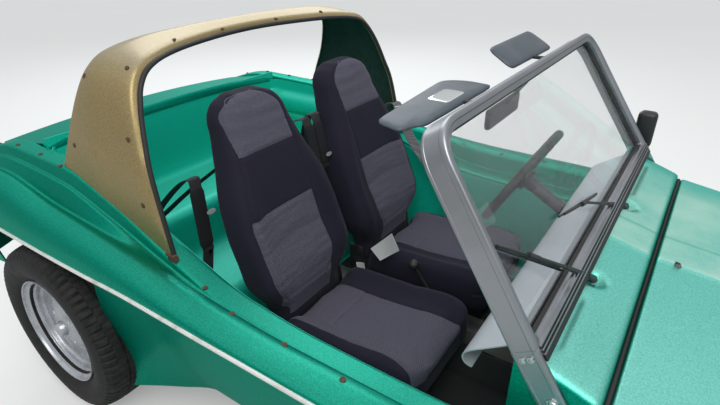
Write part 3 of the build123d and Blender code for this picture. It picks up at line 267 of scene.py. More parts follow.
def smooth_by_angle(piece, angle):
    """Smooth shading that stays sharp over edges above an angle in degrees, kept live after the modifiers."""
    group = bpy.data.node_groups.get(f"soft_shading_{angle}")
    if group is None:
        group = bpy.data.node_groups.new(f"soft_shading_{angle}", "GeometryNodeTree")
        group.is_modifier = True
        for way in ("INPUT", "OUTPUT"):
            group.interface.new_socket("Geometry", in_out=way, socket_type="NodeSocketGeometry")
        start = node(group, "NodeGroupInput").outputs[0]
        turn = node(group, "GeometryNodeInputMeshEdgeAngle").outputs["Unsigned Angle"]
        flat = node(group, "FunctionNodeCompare", {"A": turn, "B": math.radians(angle)},
                    data_type="FLOAT", operation="LESS_EQUAL").outputs[0]
        every = node(group, "GeometryNodeSetShadeSmooth", {"Geometry": start}).outputs[0]
        soft = node(group, "GeometryNodeSetShadeSmooth", {"Geometry": every, "Shade Smooth": flat},
                    domain="EDGE")
        group.links.new(soft.outputs[0], node(group, "NodeGroupOutput").inputs[0])
    shade = piece.modifiers.new("soft_shading", "NODES")
    shade.node_group = group


dress("floor_pan", chassis_black)

# Axles and steering
# The twin-tube front beam with its trailing arms, the rear torsion housing with spring plates and swing
# tubes, dampers and the steering gear: welded and forged steel in the same dusty black, bolted up.
for part in ("torsion_housing", "spring_plates", "axle_tubes", "front_beam", "front_arms", "dampers",
             "steering_gear", "knuckle_left", "knuckle_right", "track_rod", "drop_arm"):
    dress(part, chassis_black)

# Gearbox and engine
# Bare cast light alloy for the gearbox, case and finned cylinders, black sheet tin over the fan, and a
# belt-driven dynamo on its stand; the engine hangs from the gearbox and is open to view from behind.
alloy_colour = (0.42, 0.42, 0.40)
tin_colour = (0.020, 0.020, 0.022)
cast_alloy = surface("cast_alloy_metal", alloy_colour, 0.5, 0.85, cloud=(9, 4), fade=(0.45, 0.72),
                     colours=(alloy_colour, (0.11, 0.10, 0.085)), gloss=(0.42, 0.65), pits=(500, 2),
                     relief=0.0008)
black_tin = surface("black_tin_paint", tin_colour, 0.3, cloud=(11, 4), fade=(0.5, 0.8),
                    colours=(tin_colour, (0.075, 0.068, 0.060)), gloss=(0.28, 0.6))
for part in ("transaxle", "engine_case", "cylinders", "fan_drive"):
    dress(part, cast_alloy, 0.0012)
dress("fan_shroud", black_tin, 0.004)

# Exhaust
# Heat-worn steel: header pipes from the rear cylinders into a cross silencer with two short tails.
heated_steel = surface("exhaust_metal", (0.24, 0.19, 0.15), 0.48, 0.7, cloud=(16, 5, 0.6), fade=(0.42, 0.66),
                       colours=((0.30, 0.28, 0.26), (0.17, 0.075, 0.035)), gloss=(0.35, 0.85), pits=(260, 3),
                       relief=0.0006)
dress("exhaust", heated_steel, 0.0)

# Body sides
# The moulded glass-fibre flanks in green metal-flake gelcoat: cockpit edge, studded groove, shoulder
# and rolled edge in one skin, with the recessed lower panel; bonded to the tub and bolted to the pan.
body_wall = 0.006
thin_wall = 0.005
panel_crease = 35
tub_half = 0.600
body_half = 0.815
tail_x = -1.560
bulkhead_x = 0.700
rear_axle = Vector((-0.990, 0, 0.335))
front_axle = Vector((1.110, 0, 0.315))
rear_arch_radius = 0.385
front_arch_radius = 0.392
front_arch_top = 0.686
# Where the flanks, the scuttle and the bonnet meet the nose moulding
nose_joint_x = 0.745
# Rows: x, cockpit edge z, groove z, shoulder z, trim edge z
side_rows = (
    (-1.560, 0.815, 0.800, 0.764, 0.653),
    (-1.500, 0.880, 0.850, 0.816, 0.685),
    (-1.250, 0.940, 0.905, 0.872, 0.700),
    (-0.950, 0.938, 0.893, 0.828, 0.703),
    (-0.700, 0.876, 0.832, 0.808, 0.710),
    (-0.450, 0.775, 0.752, 0.786, 0.722),
    (-0.200, 0.694, 0.690, 0.758, 0.723),
    (0.050, 0.668, 0.664, 0.742, 0.725),
    (0.350, 0.664, 0.660, 0.742, 0.726),
    (0.745, 0.702, 0.696, 0.744, 0.714),
)


def smooth_rows(rows, x):
    """The columns of a table at x, on monotone cubics through its rows."""
    count = len(rows)
    last = min(max(sum(1 for row in rows[1:-1] if row[0] <= x), 0), count - 2)
    low, high = rows[last], rows[last + 1]
    span = high[0] - low[0]
    share = min(max((x - low[0]) / span, 0.0), 1.0)

    def slope(i, column):
        if i in (0, count - 1):
            j = min(i, count - 2)
            return (rows[j + 1][column] - rows[j][column]) / (rows[j + 1][0] - rows[j][0])
        before = (rows[i][column] - rows[i - 1][column]) / (rows[i][0] - rows[i - 1][0])
        after = (rows[i + 1][column] - rows[i][column]) / (rows[i + 1][0] - rows[i][0])
        return 0.0 if before * after <= 0 else 2 * before * after / (before + after)

    values = []
    for column in range(1, len(rows[0])):
        a, b = low[column], high[column]
        ma, mb = slope(last, column) * span, slope(last + 1, column) * span
        t, t2, t3 = share, share ** 2, share ** 3
        values.append(
            (2 * t3 - 3 * t2 + 1) * a + (t3 - 2 * t2 + t) * ma + (-2 * t3 + 3 * t2) * b + (t3 - t2) * mb
        )
    return values


def round_line(points, steps=5):
    """An open line of (u, v, set-back) points with each corner turned into a curve."""
    line = []
    for i, (u, v, back) in enumerate(points):
        here = Vector((u, v))
        if back == 0 or i in (0, len(points) - 1):
            line.append(here)
            continue
        before = Vector(points[i - 1][:2]) - here
        after = Vector(points[i + 1][:2]) - here
        start = here + before.normalized() * min(back, 0.48 * before.length)
        end = here + after.normalized() * min(back, 0.48 * after.length)
        for k in range(steps + 1):
            t = k / steps
            line.append((1 - t) ** 2 * start + 2 * t * (1 - t) * here + t * t * end)
    return line


def spread(low, high, step):
    """Even places from low to high, about a step apart."""
    count = max(1, round((high - low) / step))
    return [low + (high - low) * i / count for i in range(count + 1)]


def sheet_mesh(name, rows, flip=False, closed=False):
    """A mesh through rows of points, all with the same count; closed joins the last row to the first."""
    wide = len(rows[0])
    faces = []
    for i in range(len(rows) - (0 if closed else 1)):
        j = (i + 1) % len(rows)
        for k in range(wide - 1):
            face = (i * wide + k, i * wide + k + 1, j * wide + k + 1, j * wide + k)
            faces.append(face[::-1] if flip else face)
    return new_mesh(name, [p for row in rows for p in row], faces)


def place_piece(name, mesh, finish, body="chassis", replaces=()):
    """Puts a mesh on the car as a piece, with its finish, its body and what it stands for."""
    piece = new_object(name + "_skin", mesh)
    for one in finish if isinstance(finish, (list, tuple)) else [finish]:
        mesh.materials.append(one)
    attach(piece, body)
    if replaces:
        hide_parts(*replaces)
    return piece


def settle(piece):
    """Applies a piece's modifiers to its mesh."""
    graph = bpy.context.evaluated_depsgraph_get()
    made = bpy.data.meshes.new_from_object(piece.evaluated_get(graph), depsgraph=graph)
    piece.modifiers.clear()
    old = piece.data
    piece.data = made
    bpy.data.meshes.remove(old)
    return piece


def thicken(piece, wall, offset=-1.0, even=True, inner=0):
    """Gives a skin its wall, inward from the side that its faces look to; inner picks the finish inside."""
    solid = piece.modifiers.new("wall", "SOLIDIFY")
    solid.thickness = wall
    solid.offset = offset
    solid.use_even_offset = even
    solid.material_offset = inner
    return settle(piece)


def skin(name, rows, finish, wall, flip=False, offset=-1.0, even=True):
    """A panel with an even wall, through rows of points."""
    return thicken(place_piece(name, sheet_mesh(name, rows, flip), finish), wall, offset, even)


def join_pieces(first, *others):
    """Makes one piece of several."""
    with bpy.context.temp_override(active_object=first, selected_editable_objects=[first, *others]):
        bpy.ops.object.join()
    return first


def circle(count):
    """The turns of points spread evenly round a circle."""
    return [2 * math.pi * k / count for k in range(count)]


def slab_mesh(name, outline, y0, y1):
    """A closed mesh with an (x, z) outline that reaches across from one y to another."""
    y0, y1 = sorted((y0, y1))
    count = len(outline)
    faces = [(k, (k + 1) % count, count + (k + 1) % count, count + k) for k in range(count)]
    faces += [tuple(range(count))[::-1], tuple(range(count, 2 * count))]
    return new_mesh(name, [(x, y, z) for y in (y0, y1) for x, z in outline], faces)


def cut_drum(piece, centre, radius, y0, y1, top):
    """Cuts a round opening that lies across the car, flat above a height."""
    ring = [(centre.x + radius * math.cos(a), min(centre.z + radius * math.sin(a), top)) for a in circle(96)]
    mesh = slab_mesh("cutter", ring, y0, y1)
    cutter = new_object("cutter", mesh)
    cut = piece.modifiers.new("cut", "BOOLEAN")
    cut.operation = "DIFFERENCE"
    cut.solver = "EXACT"
    cut.object = cutter
    settle(piece)
    bpy.data.objects.remove(cutter)
    bpy.data.meshes.remove(mesh)


def flake_gelcoat(name, deep, body, pale, painted_reflection, share, patch=None, metal=0.82, edge=(0.10, 0.90, 0.78)):
    """Metal flake under clear gelcoat, with a painted sky reflection: where it faces up, and more so on the
    front panels, its colour goes by a share toward a pale colour; a patch colour, if given, covers the left
    half of scuttle and bonnet from their crease on."""
    made, tree, shader, place = new_material(name, body, 0.36, metal, {
        "Coat Weight": 0.08, "Coat Roughness": 0.12, "Coat IOR": 1.5, "Specular IOR Level": 0.30,
        "Specular Tint": (*edge, 1.0)})

    def times(first, *others):
        for other in others:
            first = calculate(tree, "MULTIPLY", first, other)
        return first

    fine = steep(tree, grain(tree, place, 1100, 2, 0.7), 0.30, 0.70)
    clump = steep(tree, grain(tree, place, 260, 2, 0.6), 0.34, 0.68)
    colour = blend_colours(tree, clump, deep, body)
    colour = blend_colours(tree, times(fine, 0.7), colour, pale)
    normal = node(tree, "ShaderNodeTexCoord").outputs["Normal"]
    upward = node(tree, "ShaderNodeSeparateXYZ", {"Vector": normal}).outputs["Z"]
    cloud = steep(tree, grain(tree, place, 4.5, 4, 0.6), 0.25, 0.75)
    x, y = node(tree, "ShaderNodeSeparateXYZ", {"Vector": place}).outputs[:2]
    # Painted sky reflection: faces turned up, most of all on the front panels, go toward a pale colour
    front = steep(tree, x, 0.45, 0.56, share, 0.78)
    sky = times(steep(tree, upward, 0.55, 0.97), front)
    grainy = steep(tree, clump, 0.0, 1.0, 0.70, 1.0)
    colour = blend_colours(tree, times(sky, grainy), colour, painted_reflection)
    if patch:
        over = times(steep(tree, y, -0.066, -0.058), steep(tree, y, 0.58, 0.40), steep(tree, x, 0.555, 0.62),
                     steep(tree, upward, 0.80, 0.95), cloud, 0.85)
        colour = blend_colours(tree, over, colour, patch)
    set_colour(tree, shader, colour)
    set_roughness(tree, shader, fine, 0.32, 0.44)
    set_bump(tree, shader, clump, 0.0002, 0.5)
    return made


# The fourth colour is the painted sky reflection on faces turned up
green_gelcoat = flake_gelcoat(
    "green_flake_gelcoat", (0.0, 0.110, 0.066), (0.0, 0.290, 0.190), (0.0, 0.430, 0.300), (0.32, 0.80, 0.72),
    0.06,
    (0.74, 0.90, 0.78),
)


def side_line(x):
    cockpit, groove, shoulder, edge = smooth_rows(side_rows, x)
    fall = shoulder - edge
    return round_line([
        (tub_half - 0.003, cockpit - 0.020, 0),
        (tub_half, cockpit, 0.014),
        (0.668, cockpit, 0.012),
        (0.677, groove, 0.006),
        (0.690, groove, 0.006),
        (0.712, shoulder - 0.010, 0.010),
        (0.738, shoulder, 0.014),
        (body_half - 0.032, shoulder - 0.18 * fall, 0.030),
        (body_half - 0.006, shoulder - 0.55 * fall, 0.030),
        (body_half, edge, 0.010),
        (body_half - 0.006, edge - 0.012, 0.004),
        (body_half - 0.020, edge - 0.016, 0),
    ])


# Rows: x, y at mid height, y at the bottom, bottom z
lower_rows = (
    (-0.720, 0.772, 0.762, 0.175),
    (-0.540, 0.745, 0.668, 0.190),
    (-0.400, 0.728, 0.610, 0.200),
    (0.300, 0.725, 0.608, 0.200),
    (0.708, 0.725, 0.608, 0.200),
)


def lower_line(x):
    mid, low, bottom = smooth_rows(lower_rows, x)
    edge = smooth_rows(side_rows, x)[3]
    return round_line([
        (body_half - 0.016, edge - 0.012, 0),
        (body_half - 0.032, edge - 0.026, 0.008),
        (body_half - 0.040, edge - 0.070, 0.030),
        (mid, 0.460, 0.120),
        (0.5 * (mid + low), 0.300, 0.060),
        (low, bottom, 0),
    ])


def tail_face(name, side):
    """The upright panel behind the rear wheel, under the end of the fender."""
    low = [(body_half - 0.026, 0.530), (body_half - 0.034, 0.445), (0.760, 0.425), (tub_half, 0.470)]
    ring = [(tail_x, y, z) for y, z in [*side_line(tail_x), *low]]
    mesh = new_mesh("tail_face", ring, [tuple(range(len(ring)))])
    if side < 0:
        mesh.transform(Matrix.Scale(-1, 4, (0, 1, 0)))
    return thicken(place_piece(name, mesh, green_gelcoat), body_wall, 0.0, even=False)


def body_side(name, side):
    """One flank: side is 1 on the left and -1 on the right."""
    def panel(ending, line_at, start, end):
        rows = [[(x, side * y, z) for y, z in line_at(x)] for x in spread(start, end, 0.025)]
        return skin(name + ending, rows, green_gelcoat, body_wall, flip=side > 0)

    def tail_line(x):
        fall = 0.03 * (tail_end_x - x) / 0.2
        line = [(body_half - 0.014, 0.646, 0), (body_half - 0.014, 0.560, 0.03),
                (body_half - 0.030, 0.470, 0)]
        return [(y, z - fall) for y, z in round_line(line)]

    tail_end_x = -1.36
    shoulder = panel("", side_line, tail_x, nose_joint_x)
    lower = panel("_low", lower_line, -0.720, 0.708)
    wrap = panel("_tail", tail_line, tail_x, tail_end_x)
    back = tail_face(name + "_back", side)
    rear_arch_top = smooth_rows(side_rows, rear_axle.x)[3] - 0.024
    for one in (shoulder, lower, wrap):
        cut_drum(one, rear_axle, rear_arch_radius, side * 0.61, side * 0.92, rear_arch_top)
    for one in (lower, shoulder):
        cut_drum(one, front_axle, front_arch_radius, side * 0.61, side * 0.92, front_arch_top)
    whole = join_pieces(shoulder, lower, wrap, back)
    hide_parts(name)
    smooth_by_angle(whole, panel_crease)


body_side("body_side_left", 1)
body_side("body_side_right", -1)

# Cockpit tub
# The inside moulding in the same green gelcoat: rear bulkhead and shelf, the wheel boxes that stand
# out of its side walls with their stepped ledges, and the front bulkhead; laid up in one piece.
# A lighter copy of the green gelcoat: its paler colours are painted light on the cockpit's inside, and its
# fourth colour is the painted sky reflection on faces turned up
tub_gelcoat_painted_light = flake_gelcoat(
    "tub_flake_gelcoat_painted_light", (0.0, 0.400, 0.270), (0.0, 0.600, 0.420), (0.030, 0.780, 0.600),
    (0.200, 0.820, 0.700), 0.20,
    metal=0.15,
)
tub_rear_x = -1.190
tub_inside = tub_half - body_wall
floor_z = 0.209
shelf_line = (
    (tub_rear_x + 0.004, 0.962, 0),
    (tub_rear_x + 0.012, 0.900, 0.02),
    (tub_rear_x + 0.030, 0.700, 0.03),
    (tub_rear_x + 0.057, 0.645, 0.04),
    (-0.850, 0.627, 0.045),
    (-0.822, 0.450, 0.05),
    (-0.545, 0.400, 0.05),
    (-0.515, 0.210, 0.03),
    (-0.500, 0.208, 0),
)


def unit(value):
    """Keeps a share between 0 and 1."""
    return max(0.0, min(1.0, value))


def ease(share):
    """Turns an even rise from 0 to 1 into a soft one."""
    return share * share * (3 - 2 * share)


def wall_line(x):
    """The inside of a side wall at x, from the cockpit edge down: (y, z)."""
    top = smooth_rows(side_rows, x)[0] - 0.012
    box = ease(unit((-0.62 - x) / 0.22))
    corner = max(0.0, 1.0 - (x - tub_rear_x) / 0.060)
    inset = 0.045 * corner * corner
    inside = tub_inside - inset
    ledge = min(0.872, top - 0.045)
    # Rows: depth of the wheel box, height over or under the ledge, rounding
    box_rows = (
        (0.006, 0.006, 0.012), (0.046, -0.014, 0.018), (0.058, -0.050, 0.020), (0.050, -0.080, 0.012),
        (0.034, -0.090, 0.006), (0.032, -0.100, 0.006), (0.044, -0.108, 0.008), (0.030, -0.190, 0.030),
        (0.060, -0.245, 0.015),
    )
    line = [(inside - deep * box, ledge + rise, back) for deep, rise, back in box_rows]
    return round_line([(inside, top, 0), *line, (inside - 0.004, 0.230, 0.02), (inside - 0.012, 0.208, 0)], 4)


def shelf_height(x):
    """Height of the shelf moulding at x."""
    line = round_line(shelf_line, 6)
    for (x0, z0), (x1, z1) in zip(line[:-1], line[1:]):
        if x0 <= x <= x1:
            return z0 + (z1 - z0) * (x - x0) / max(x1 - x0, 1e-6)
    return floor_z


def weld_points(mesh, distance):
    """Joins the points of a mesh that lie closer than a distance."""
    edit = bmesh.new()
    edit.from_mesh(mesh)
    bmesh.ops.remove_doubles(edit, verts=edit.verts, dist=distance)
    edit.to_mesh(mesh)
    edit.free()


def drop_slivers(mesh):
    """Takes out the faces that have shrunk to a line."""
    weld_points(mesh, 0.0002)
    edit = bmesh.new()
    edit.from_mesh(mesh)
    bmesh.ops.delete(edit, geom=[f for f in edit.faces if f.calc_area() < 1e-7], context="FACES")
    edit.to_mesh(mesh)
    edit.free()


def cockpit_tub():
    across = spread(-tub_inside, tub_inside, 0.06)
    shelf = [[(x, y, z) for x, z in round_line(shelf_line, 6)] for y in across]
    pieces = [skin("cockpit_tub", shelf, tub_gelcoat_painted_light, thin_wall, flip=True)]
    for side in (1, -1):
        rows = []
        for x in spread(tub_rear_x + 0.002, 0.696, 0.020):
            low = shelf_height(x) - 0.004
            rows.append([(x, side * y, max(z, low)) for y, z in wall_line(x)])
        mesh = sheet_mesh("wall", rows, flip=side < 0)
        drop_slivers(mesh)
        pieces.append(thicken(place_piece("wall", mesh, tub_gelcoat_painted_light), thin_wall, even=False))
    front = [[(bulkhead_x - 0.006, y, z) for z in spread(floor_z, 0.806, 0.08)] for y in across]
    pieces.append(skin("bulkhead", front, tub_gelcoat_painted_light, body_wall, offset=0.0))
    whole = join_pieces(*pieces)
    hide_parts("cockpit_tub")
    smooth_by_angle(whole, panel_crease)


cockpit_tub()

# Rear deck
# The crowned panel between the fenders behind the cockpit, in the same moulding as the flanks,
# with a rolled edge all round its mouth; the engine sits in the open below its tail.
deck_crown = 0.028


def deck_line(share):
    """Centre line of the deck skin at a share of its width from the middle, 0 to 1: (x, z)."""
    crown = deck_crown * (1 - share ** 2)
    tops = [(x, smooth_rows(side_rows, x)[0] + crown) for x in spread(tub_rear_x, -1.50, 0.04)]
    start = [(tub_rear_x + 0.010, tops[0][1] - 0.026), (tub_rear_x + 0.006, tops[0][1] - 0.006)]
    tail = smooth_rows(side_rows, tail_x)[0]
    end = [(tail_x + 0.016, tail + crown + 0.004), (tail_x + 0.003, tail + crown - 0.012),
           (tail_x, tail - 0.05)]
    end += [(tail_x, z) for z in spread(tail - 0.08, 0.69, 0.03)]
    return start + tops + end


def rear_deck():
    rows = [[(x, y, z) for x, z in deck_line(abs(y) / tub_half)] for y in spread(-tub_half, tub_half, 0.05)]
    piece = place_piece("rear_deck_skin", sheet_mesh("rear_deck", rows), green_gelcoat,
                        replaces=["rear_deck"])
    thicken(piece, body_wall)
    smooth_by_angle(piece, panel_crease)


rear_deck()

# Scuttle
# The crowned panel between windscreen and bonnet, green gelcoat, with upright side cheeks, a gutter
# under the bonnet edge that holds a rubber seal, and two moulded pockets for the wiper spindles.
scuttle_half = 0.622
scuttle_rows = (
    (0.560, 0.912, 0.923),
    (0.640, 0.889, 0.906),
    (0.722, 0.862, 0.886),
)
wiper_spindles = ((0.628, -0.272), (0.626, 0.164))
pocket_radius = 0.042
pocket_depth = 0.013
scuttle_front_x = 0.722
# The pockets and troughs are pressed into the crown alone, which lies over this height
crown_low = 0.80
points_across = 260
# Scooped troughs along the screen's foot, outboard of the pockets: from y, to y
foot_troughs = ((-0.580, -0.330), (0.225, 0.560))
# A flat band runs along the middle of scuttle and bonnet, a little proud of the rest
band_half = 0.060
band_bevel = 0.012
band_rise = 0.004


def scuttle_line(x, drop=0.0):
    edge, centre = smooth_rows(scuttle_rows, x)
    edge, centre = edge - drop, centre - drop
    right = [
        (scuttle_half, 0.700, 0),
        (scuttle_half, edge - 0.016, 0.02),
        (scuttle_half - 0.014, edge - 0.002, 0.02),
        (scuttle_half - 0.080, edge + 0.006, 0.05),
        (0.45 * scuttle_half, centre - 0.008, 0.12),
        (band_half + band_bevel, centre - band_rise, 0.005),
        (band_half, centre, 0.005),
    ]
    return round_line([(-y, z, r) for y, z, r in right] + right[::-1], 6)


def even_line(line, count):
    """The same open line as a given number of points, evenly spaced."""
    lengths = np.cumsum([0] + [(b - a).length for a, b in zip(line[:-1], line[1:])])
    goals = np.linspace(0, lengths[-1], count)
    u = np.interp(goals, lengths, [p.x for p in line])
    v = np.interp(goals, lengths, [p.y for p in line])
    return [Vector(p) for p in zip(u, v)]


def scuttle_panel():
    rows = []
    for x in spread(0.560, 0.716, 0.006):
        row = []
        for y, z in even_line(scuttle_line(x), points_across):
            for px, py in wiper_spindles:
                away = math.hypot(x - px, y - py) / pocket_radius
                if away < 1 and z > crown_low:
                    z -= pocket_depth * (1 - away ** 2) ** 2 * 1.6
            for y0, y1 in foot_troughs:
                if z > crown_low:
                    inside = ease(unit(min(y - y0, y1 - y) / 0.05))
                    z -= 0.008 * inside * math.exp(-((x - 0.620) / 0.013) ** 2)
            row.append((x, y, z))
        rows.append(row)
    edge_z = scuttle_rows[-1][1]
    # The turned-down front edge: x, drop
    for x, drop in ((0.721, 0.0012), (0.7255, 0.0045), (0.7275, 0.0100), (0.7275, 0.0160), (0.7245, 0.0240),
                    (0.722, 0.040)):
        rows.append([(x, y, z - drop * unit((z - edge_z + 0.120) / 0.100))
                     for y, z in even_line(scuttle_line(scuttle_front_x), points_across)])
    piece = skin("scuttle_skin", rows, green_gelcoat, thin_wall, flip=True, even=False)
    base = edge_z - 0.051
    gutter_line = round_line([
        (0.7225, edge_z - 0.030, 0), (0.7225, base, 0.008), (0.765, base, 0.008), (0.765, base + 0.018, 0),
    ])
    gutter_rows = [[(x, y, z) for x, z in gutter_line] for y in spread(-0.594, 0.594, 0.04)]
    gutter = skin("gutter", gutter_rows, green_gelcoat, 0.003, offset=0.0)
    whole = join_pieces(piece, gutter)
    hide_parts("scuttle")
    smooth_by_angle(whole, panel_crease)


scuttle_panel()

# Front body
# The nose moulding with both front wings in green gelcoat; the wings' inner walls, floor and hinge
# lugs under it are carried by the same node. It is bonded to the flanks behind the front wheels.
# Rows: x, centre z, lid's edge z, half the lid, valley z, wing's top z, wing's edge z, half the width
front_rows = (
    (0.745, 0.884, 0.850, 0.612, 0.702, 0.744, 0.714, 0.815),
    (0.900, 0.868, 0.832, 0.600, 0.692, 0.750, 0.708, 0.816),
    (1.110, 0.838, 0.800, 0.562, 0.690, 0.750, 0.696, 0.816),
    (1.300, 0.790, 0.745, 0.505, 0.662, 0.726, 0.660, 0.806),
    (1.405, 0.752, 0.702, 0.458, 0.625, 0.690, 0.610, 0.788),
    (1.530, 0.668, 0.612, 0.405, 0.560, 0.600, 0.515, 0.735),
    (1.620, 0.545, 0.500, 0.375, 0.455, 0.480, 0.415, 0.660),
    (1.668, 0.400, 0.385, 0.350, 0.365, 0.372, 0.335, 0.590),
)
nose_x = 1.405
lid_front_x = 1.400
lid_skirt = 0.040
shut_gap = 0.005


def front_half(x):
    """Half a nose section at x from the middle outwards: (y, z, set-back)."""
    centre, lid_edge, lid_half, valley, wing, edge, half = smooth_rows(front_rows, x)
    fall = wing - edge
    return [
        (band_half, centre, 0.005),
        (band_half + band_bevel, centre - band_rise, 0.005),
        (0.6 * lid_half, centre - 0.3 * (centre - lid_edge), 0.12),
        (lid_half - 0.014, lid_edge, 0.020),
        (lid_half, lid_edge - 0.015, 0.014),
        (lid_half + 0.010, valley + 0.018, 0.020),
        (lid_half + 0.034, valley, 0.030),
        (half - 0.082, wing, 0.040),
        (half - 0.032, wing - 0.2 * fall, 0.030),
        (half - 0.007, wing - 0.6 * fall, 0.025),
        (half, edge, 0.008),
        (half - 0.008, edge - 0.022, 0),
    ]


def front_parts(x, drop):
    """A nose section split where the skirt ends, drop below the lid's edge: right wing, lid, left wing."""
    half = front_half(x)
    line = round_line([(-y, z, r) for y, z, r in half[::-1]] + half, 6)
    bottom = half[3][1] - drop
    middle = len(line) // 2
    low = max(i for i in range(middle) if line[i].y < bottom)
    a, b = line[low], line[low + 1]
    cut = a + (b - a) * ((bottom - a.y) / (b.y - a.y))
    right = even_line(line[:low + 1] + [cut], 40)
    lid = even_line([cut] + line[low + 1:middle] + [Vector((0, half[0][1]))], 110)
    return right, lid + [Vector((-p.x, p.y)) for p in lid[-2::-1]], [Vector((-p.x, p.y)) for p in right[::-1]]


def section_rows(places, drop, part):
    """Rows of one part of the nose, 0 to 2 from right to left, at each x."""
    return [[(x, y, z) for y, z in front_parts(x, drop)[part]] for x in places]


def prism(name, outline, y0, y1, finish):
    """A piece with an (x, z) outline that reaches across from one y to another."""
    mesh = slab_mesh(name, outline, y0, y1)
    turn_out(mesh)
    return place_piece(name, mesh, finish)


def turn_out(mesh, weld=0.0):
    """Makes a closed mesh's faces look outward, after joining points closer than a distance."""
    if weld:
        weld_points(mesh, weld)
    edit = bmesh.new()
    edit.from_mesh(mesh)
    bmesh.ops.recalc_face_normals(edit, faces=edit.faces)
    edit.to_mesh(mesh)
    edit.free()


hinge_pin = Vector((1.402, 0, 0.764))
hinge_ys = (-0.230, 0.230)
lid_bay_x = 1.180
bay_floor_z = 0.464
apron_half = 0.415
apron_foot_z = 0.425


def hinge_lug(y):
    """Fixed half of a bonnet hinge: a plate on the nose that holds the cross pin."""
    x, z = hinge_pin.x, hinge_pin.z
    lug = prism("hinge_lug", [
        (x - 0.004, z + 0.006), (x + 0.004, z + 0.009), (x + 0.012, z + 0.004), (x + 0.044, z - 0.036),
        (x + 0.044, z - 0.048), (x + 0.004, z - 0.034),
    ], y - 0.008, y + 0.008, green_gelcoat)
    ring = [(x + 0.005 * math.cos(a), z + 0.005 * math.sin(a)) for a in circle(16)]
    pin = prism("hinge_pin", ring, y - 0.026, y + 0.026, green_gelcoat)
    return [lug, pin]


def front_body():
    drop = lid_skirt + shut_gap
    back, nose = spread(nose_joint_x, nose_x, 0.022), spread(nose_x, front_rows[-1][0], 0.016)
    strips = [section_rows(back[:-1] + nose, drop, 0), section_rows(back[:-1] + nose, drop, 2),
              section_rows(nose, drop, 1)]
    shell = join_pieces(*[place_piece("front_body", sheet_mesh("front", rows, flip=True), green_gelcoat)
                          for rows in strips])
    weld_points(shell.data, 0.00002)
    thicken(shell, body_wall)
    inner = []
    for side in (1, -1):
        rows = []
        for x in back:
            half = front_half(x)
            lid_half, valley = half[4][0], half[6][1]
            line = [(lid_half + 0.014, valley - 0.004), (apron_half + 0.012, valley - 0.004),
                    (apron_half, valley - 0.016), (apron_half, apron_foot_z)]
            rows.append([(x, side * y, z) for y, z in line])
        inner.append(skin("inner_wing", rows, green_gelcoat, body_wall, flip=side < 0, offset=0.0))
    for one in [shell] + inner:
        for side in (1, -1):
            cut_drum(one, front_axle, front_arch_radius, side * 0.44, side * 0.90, 0.682)
    inside = apron_half - body_wall
    z = bay_floor_z
    floor = [(nose_joint_x, z), (lid_bay_x, z), (lid_bay_x, z + 0.006), (nose_joint_x, z + 0.006)]
    wall = [(lid_bay_x, z), (lid_bay_x + 0.006, z), (lid_bay_x + 0.006, z + 0.076), (lid_bay_x, z + 0.076)]
    nose_wall = [(nose_x, apron_foot_z), (nose_x, 0.660), (1.500, 0.540), (1.535, 0.470),
                 (1.500, apron_foot_z)]
    for name, outline, y0, y1 in (
            ("bay_floor", floor, -inside, inside), ("bay_wall", wall, -inside, inside),
            ("nose_wall", nose_wall, apron_half, inside), ("nose_wall", nose_wall, -apron_half, -inside)):
        inner.append(prism(name, outline, y0, y1, green_gelcoat))
    for y in hinge_ys:
        inner += hinge_lug(y)
    whole = join_pieces(shell, *inner)
    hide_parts("front_body")
    smooth_by_angle(whole, panel_crease)


front_body()

# Bonnet
# The crowned lid over the fuel tank, green gelcoat with a turned-down skirt; two strap hinges at its
# front edge carry it on cross pins, and it lies on the seal in the scuttle's gutter.


def bonnet():
    edge = section_rows([nose_joint_x], lid_skirt, 1)[0]
    rolled = [[(x, y, z - drop) for _, y, z in edge]
              for x, drop in ((0.7375, 0.0190), (0.7375, 0.0115), (0.7395, 0.0050), (0.7435, 0.0012))]
    rows = rolled + section_rows(spread(nose_joint_x + 0.003, lid_front_x, 0.02), lid_skirt, 1)
    piece = place_piece("bonnet", sheet_mesh("bonnet", rows, flip=True), green_gelcoat, body="bonnet")
    thicken(piece, body_wall)
    x, z = hinge_pin.x, hinge_pin.z
    outline = [
        (x - 0.057, z + 0.012), (x - 0.057, z - 0.004), (x - 0.010, z - 0.020), (x - 0.003, z - 0.009),
        (x + 0.006, z - 0.007), (x + 0.009, z), (x + 0.006, z + 0.007), (x - 0.002, z + 0.009),
    ]
    straps = [prism("strap", outline, y + side * 0.0083, y + side * 0.024, green_gelcoat)
              for y in hinge_ys for side in (-1, 1)]
    whole = join_pieces(piece, *straps)
    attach(whole, "bonnet")
    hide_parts("bonnet")
    smooth_by_angle(whole, panel_crease)


bonnet()

# Roll hoop
# A moulded gold metal-flake hoop with a rolled lip at each edge; it is bonded to the crests of both
# flanks, and a few rusty studs hold it to the steel bar inside.
# Rows: front x, front y share, front z, rear x, rear y share, rear z, bulge; from a foot to the middle
hoop_base_y = 0.6688 - 0.0086
hoop_rows = (
    (-0.436, 1.0, 0.760, -0.962, 1.0, 0.912, 0.003),
    (-0.488, 0.985, 1.000, -0.920, 0.977, 1.010, 0.016),
    (-0.519, 0.955, 1.100, -0.874, 0.955, 1.110, 0.022),
    (-0.548, 0.915, 1.190, -0.840, 0.918, 1.200, 0.024),
    (-0.572, 0.864, 1.252, -0.818, 0.87, 1.262, 0.024),
    (-0.592, 0.78, 1.290, -0.804, 0.782, 1.304, 0.024),
    (-0.640, 0.591, 1.304, -0.796, 0.591, 1.326, 0.022),
    (-0.690, 0.288, 1.308, -0.794, 0.288, 1.334, 0.018),
    (-0.705, 0.0, 1.310, -0.794, 0.0, 1.336, 0.016),
)
hoop_spans = 2 * (len(hoop_rows) - 1)
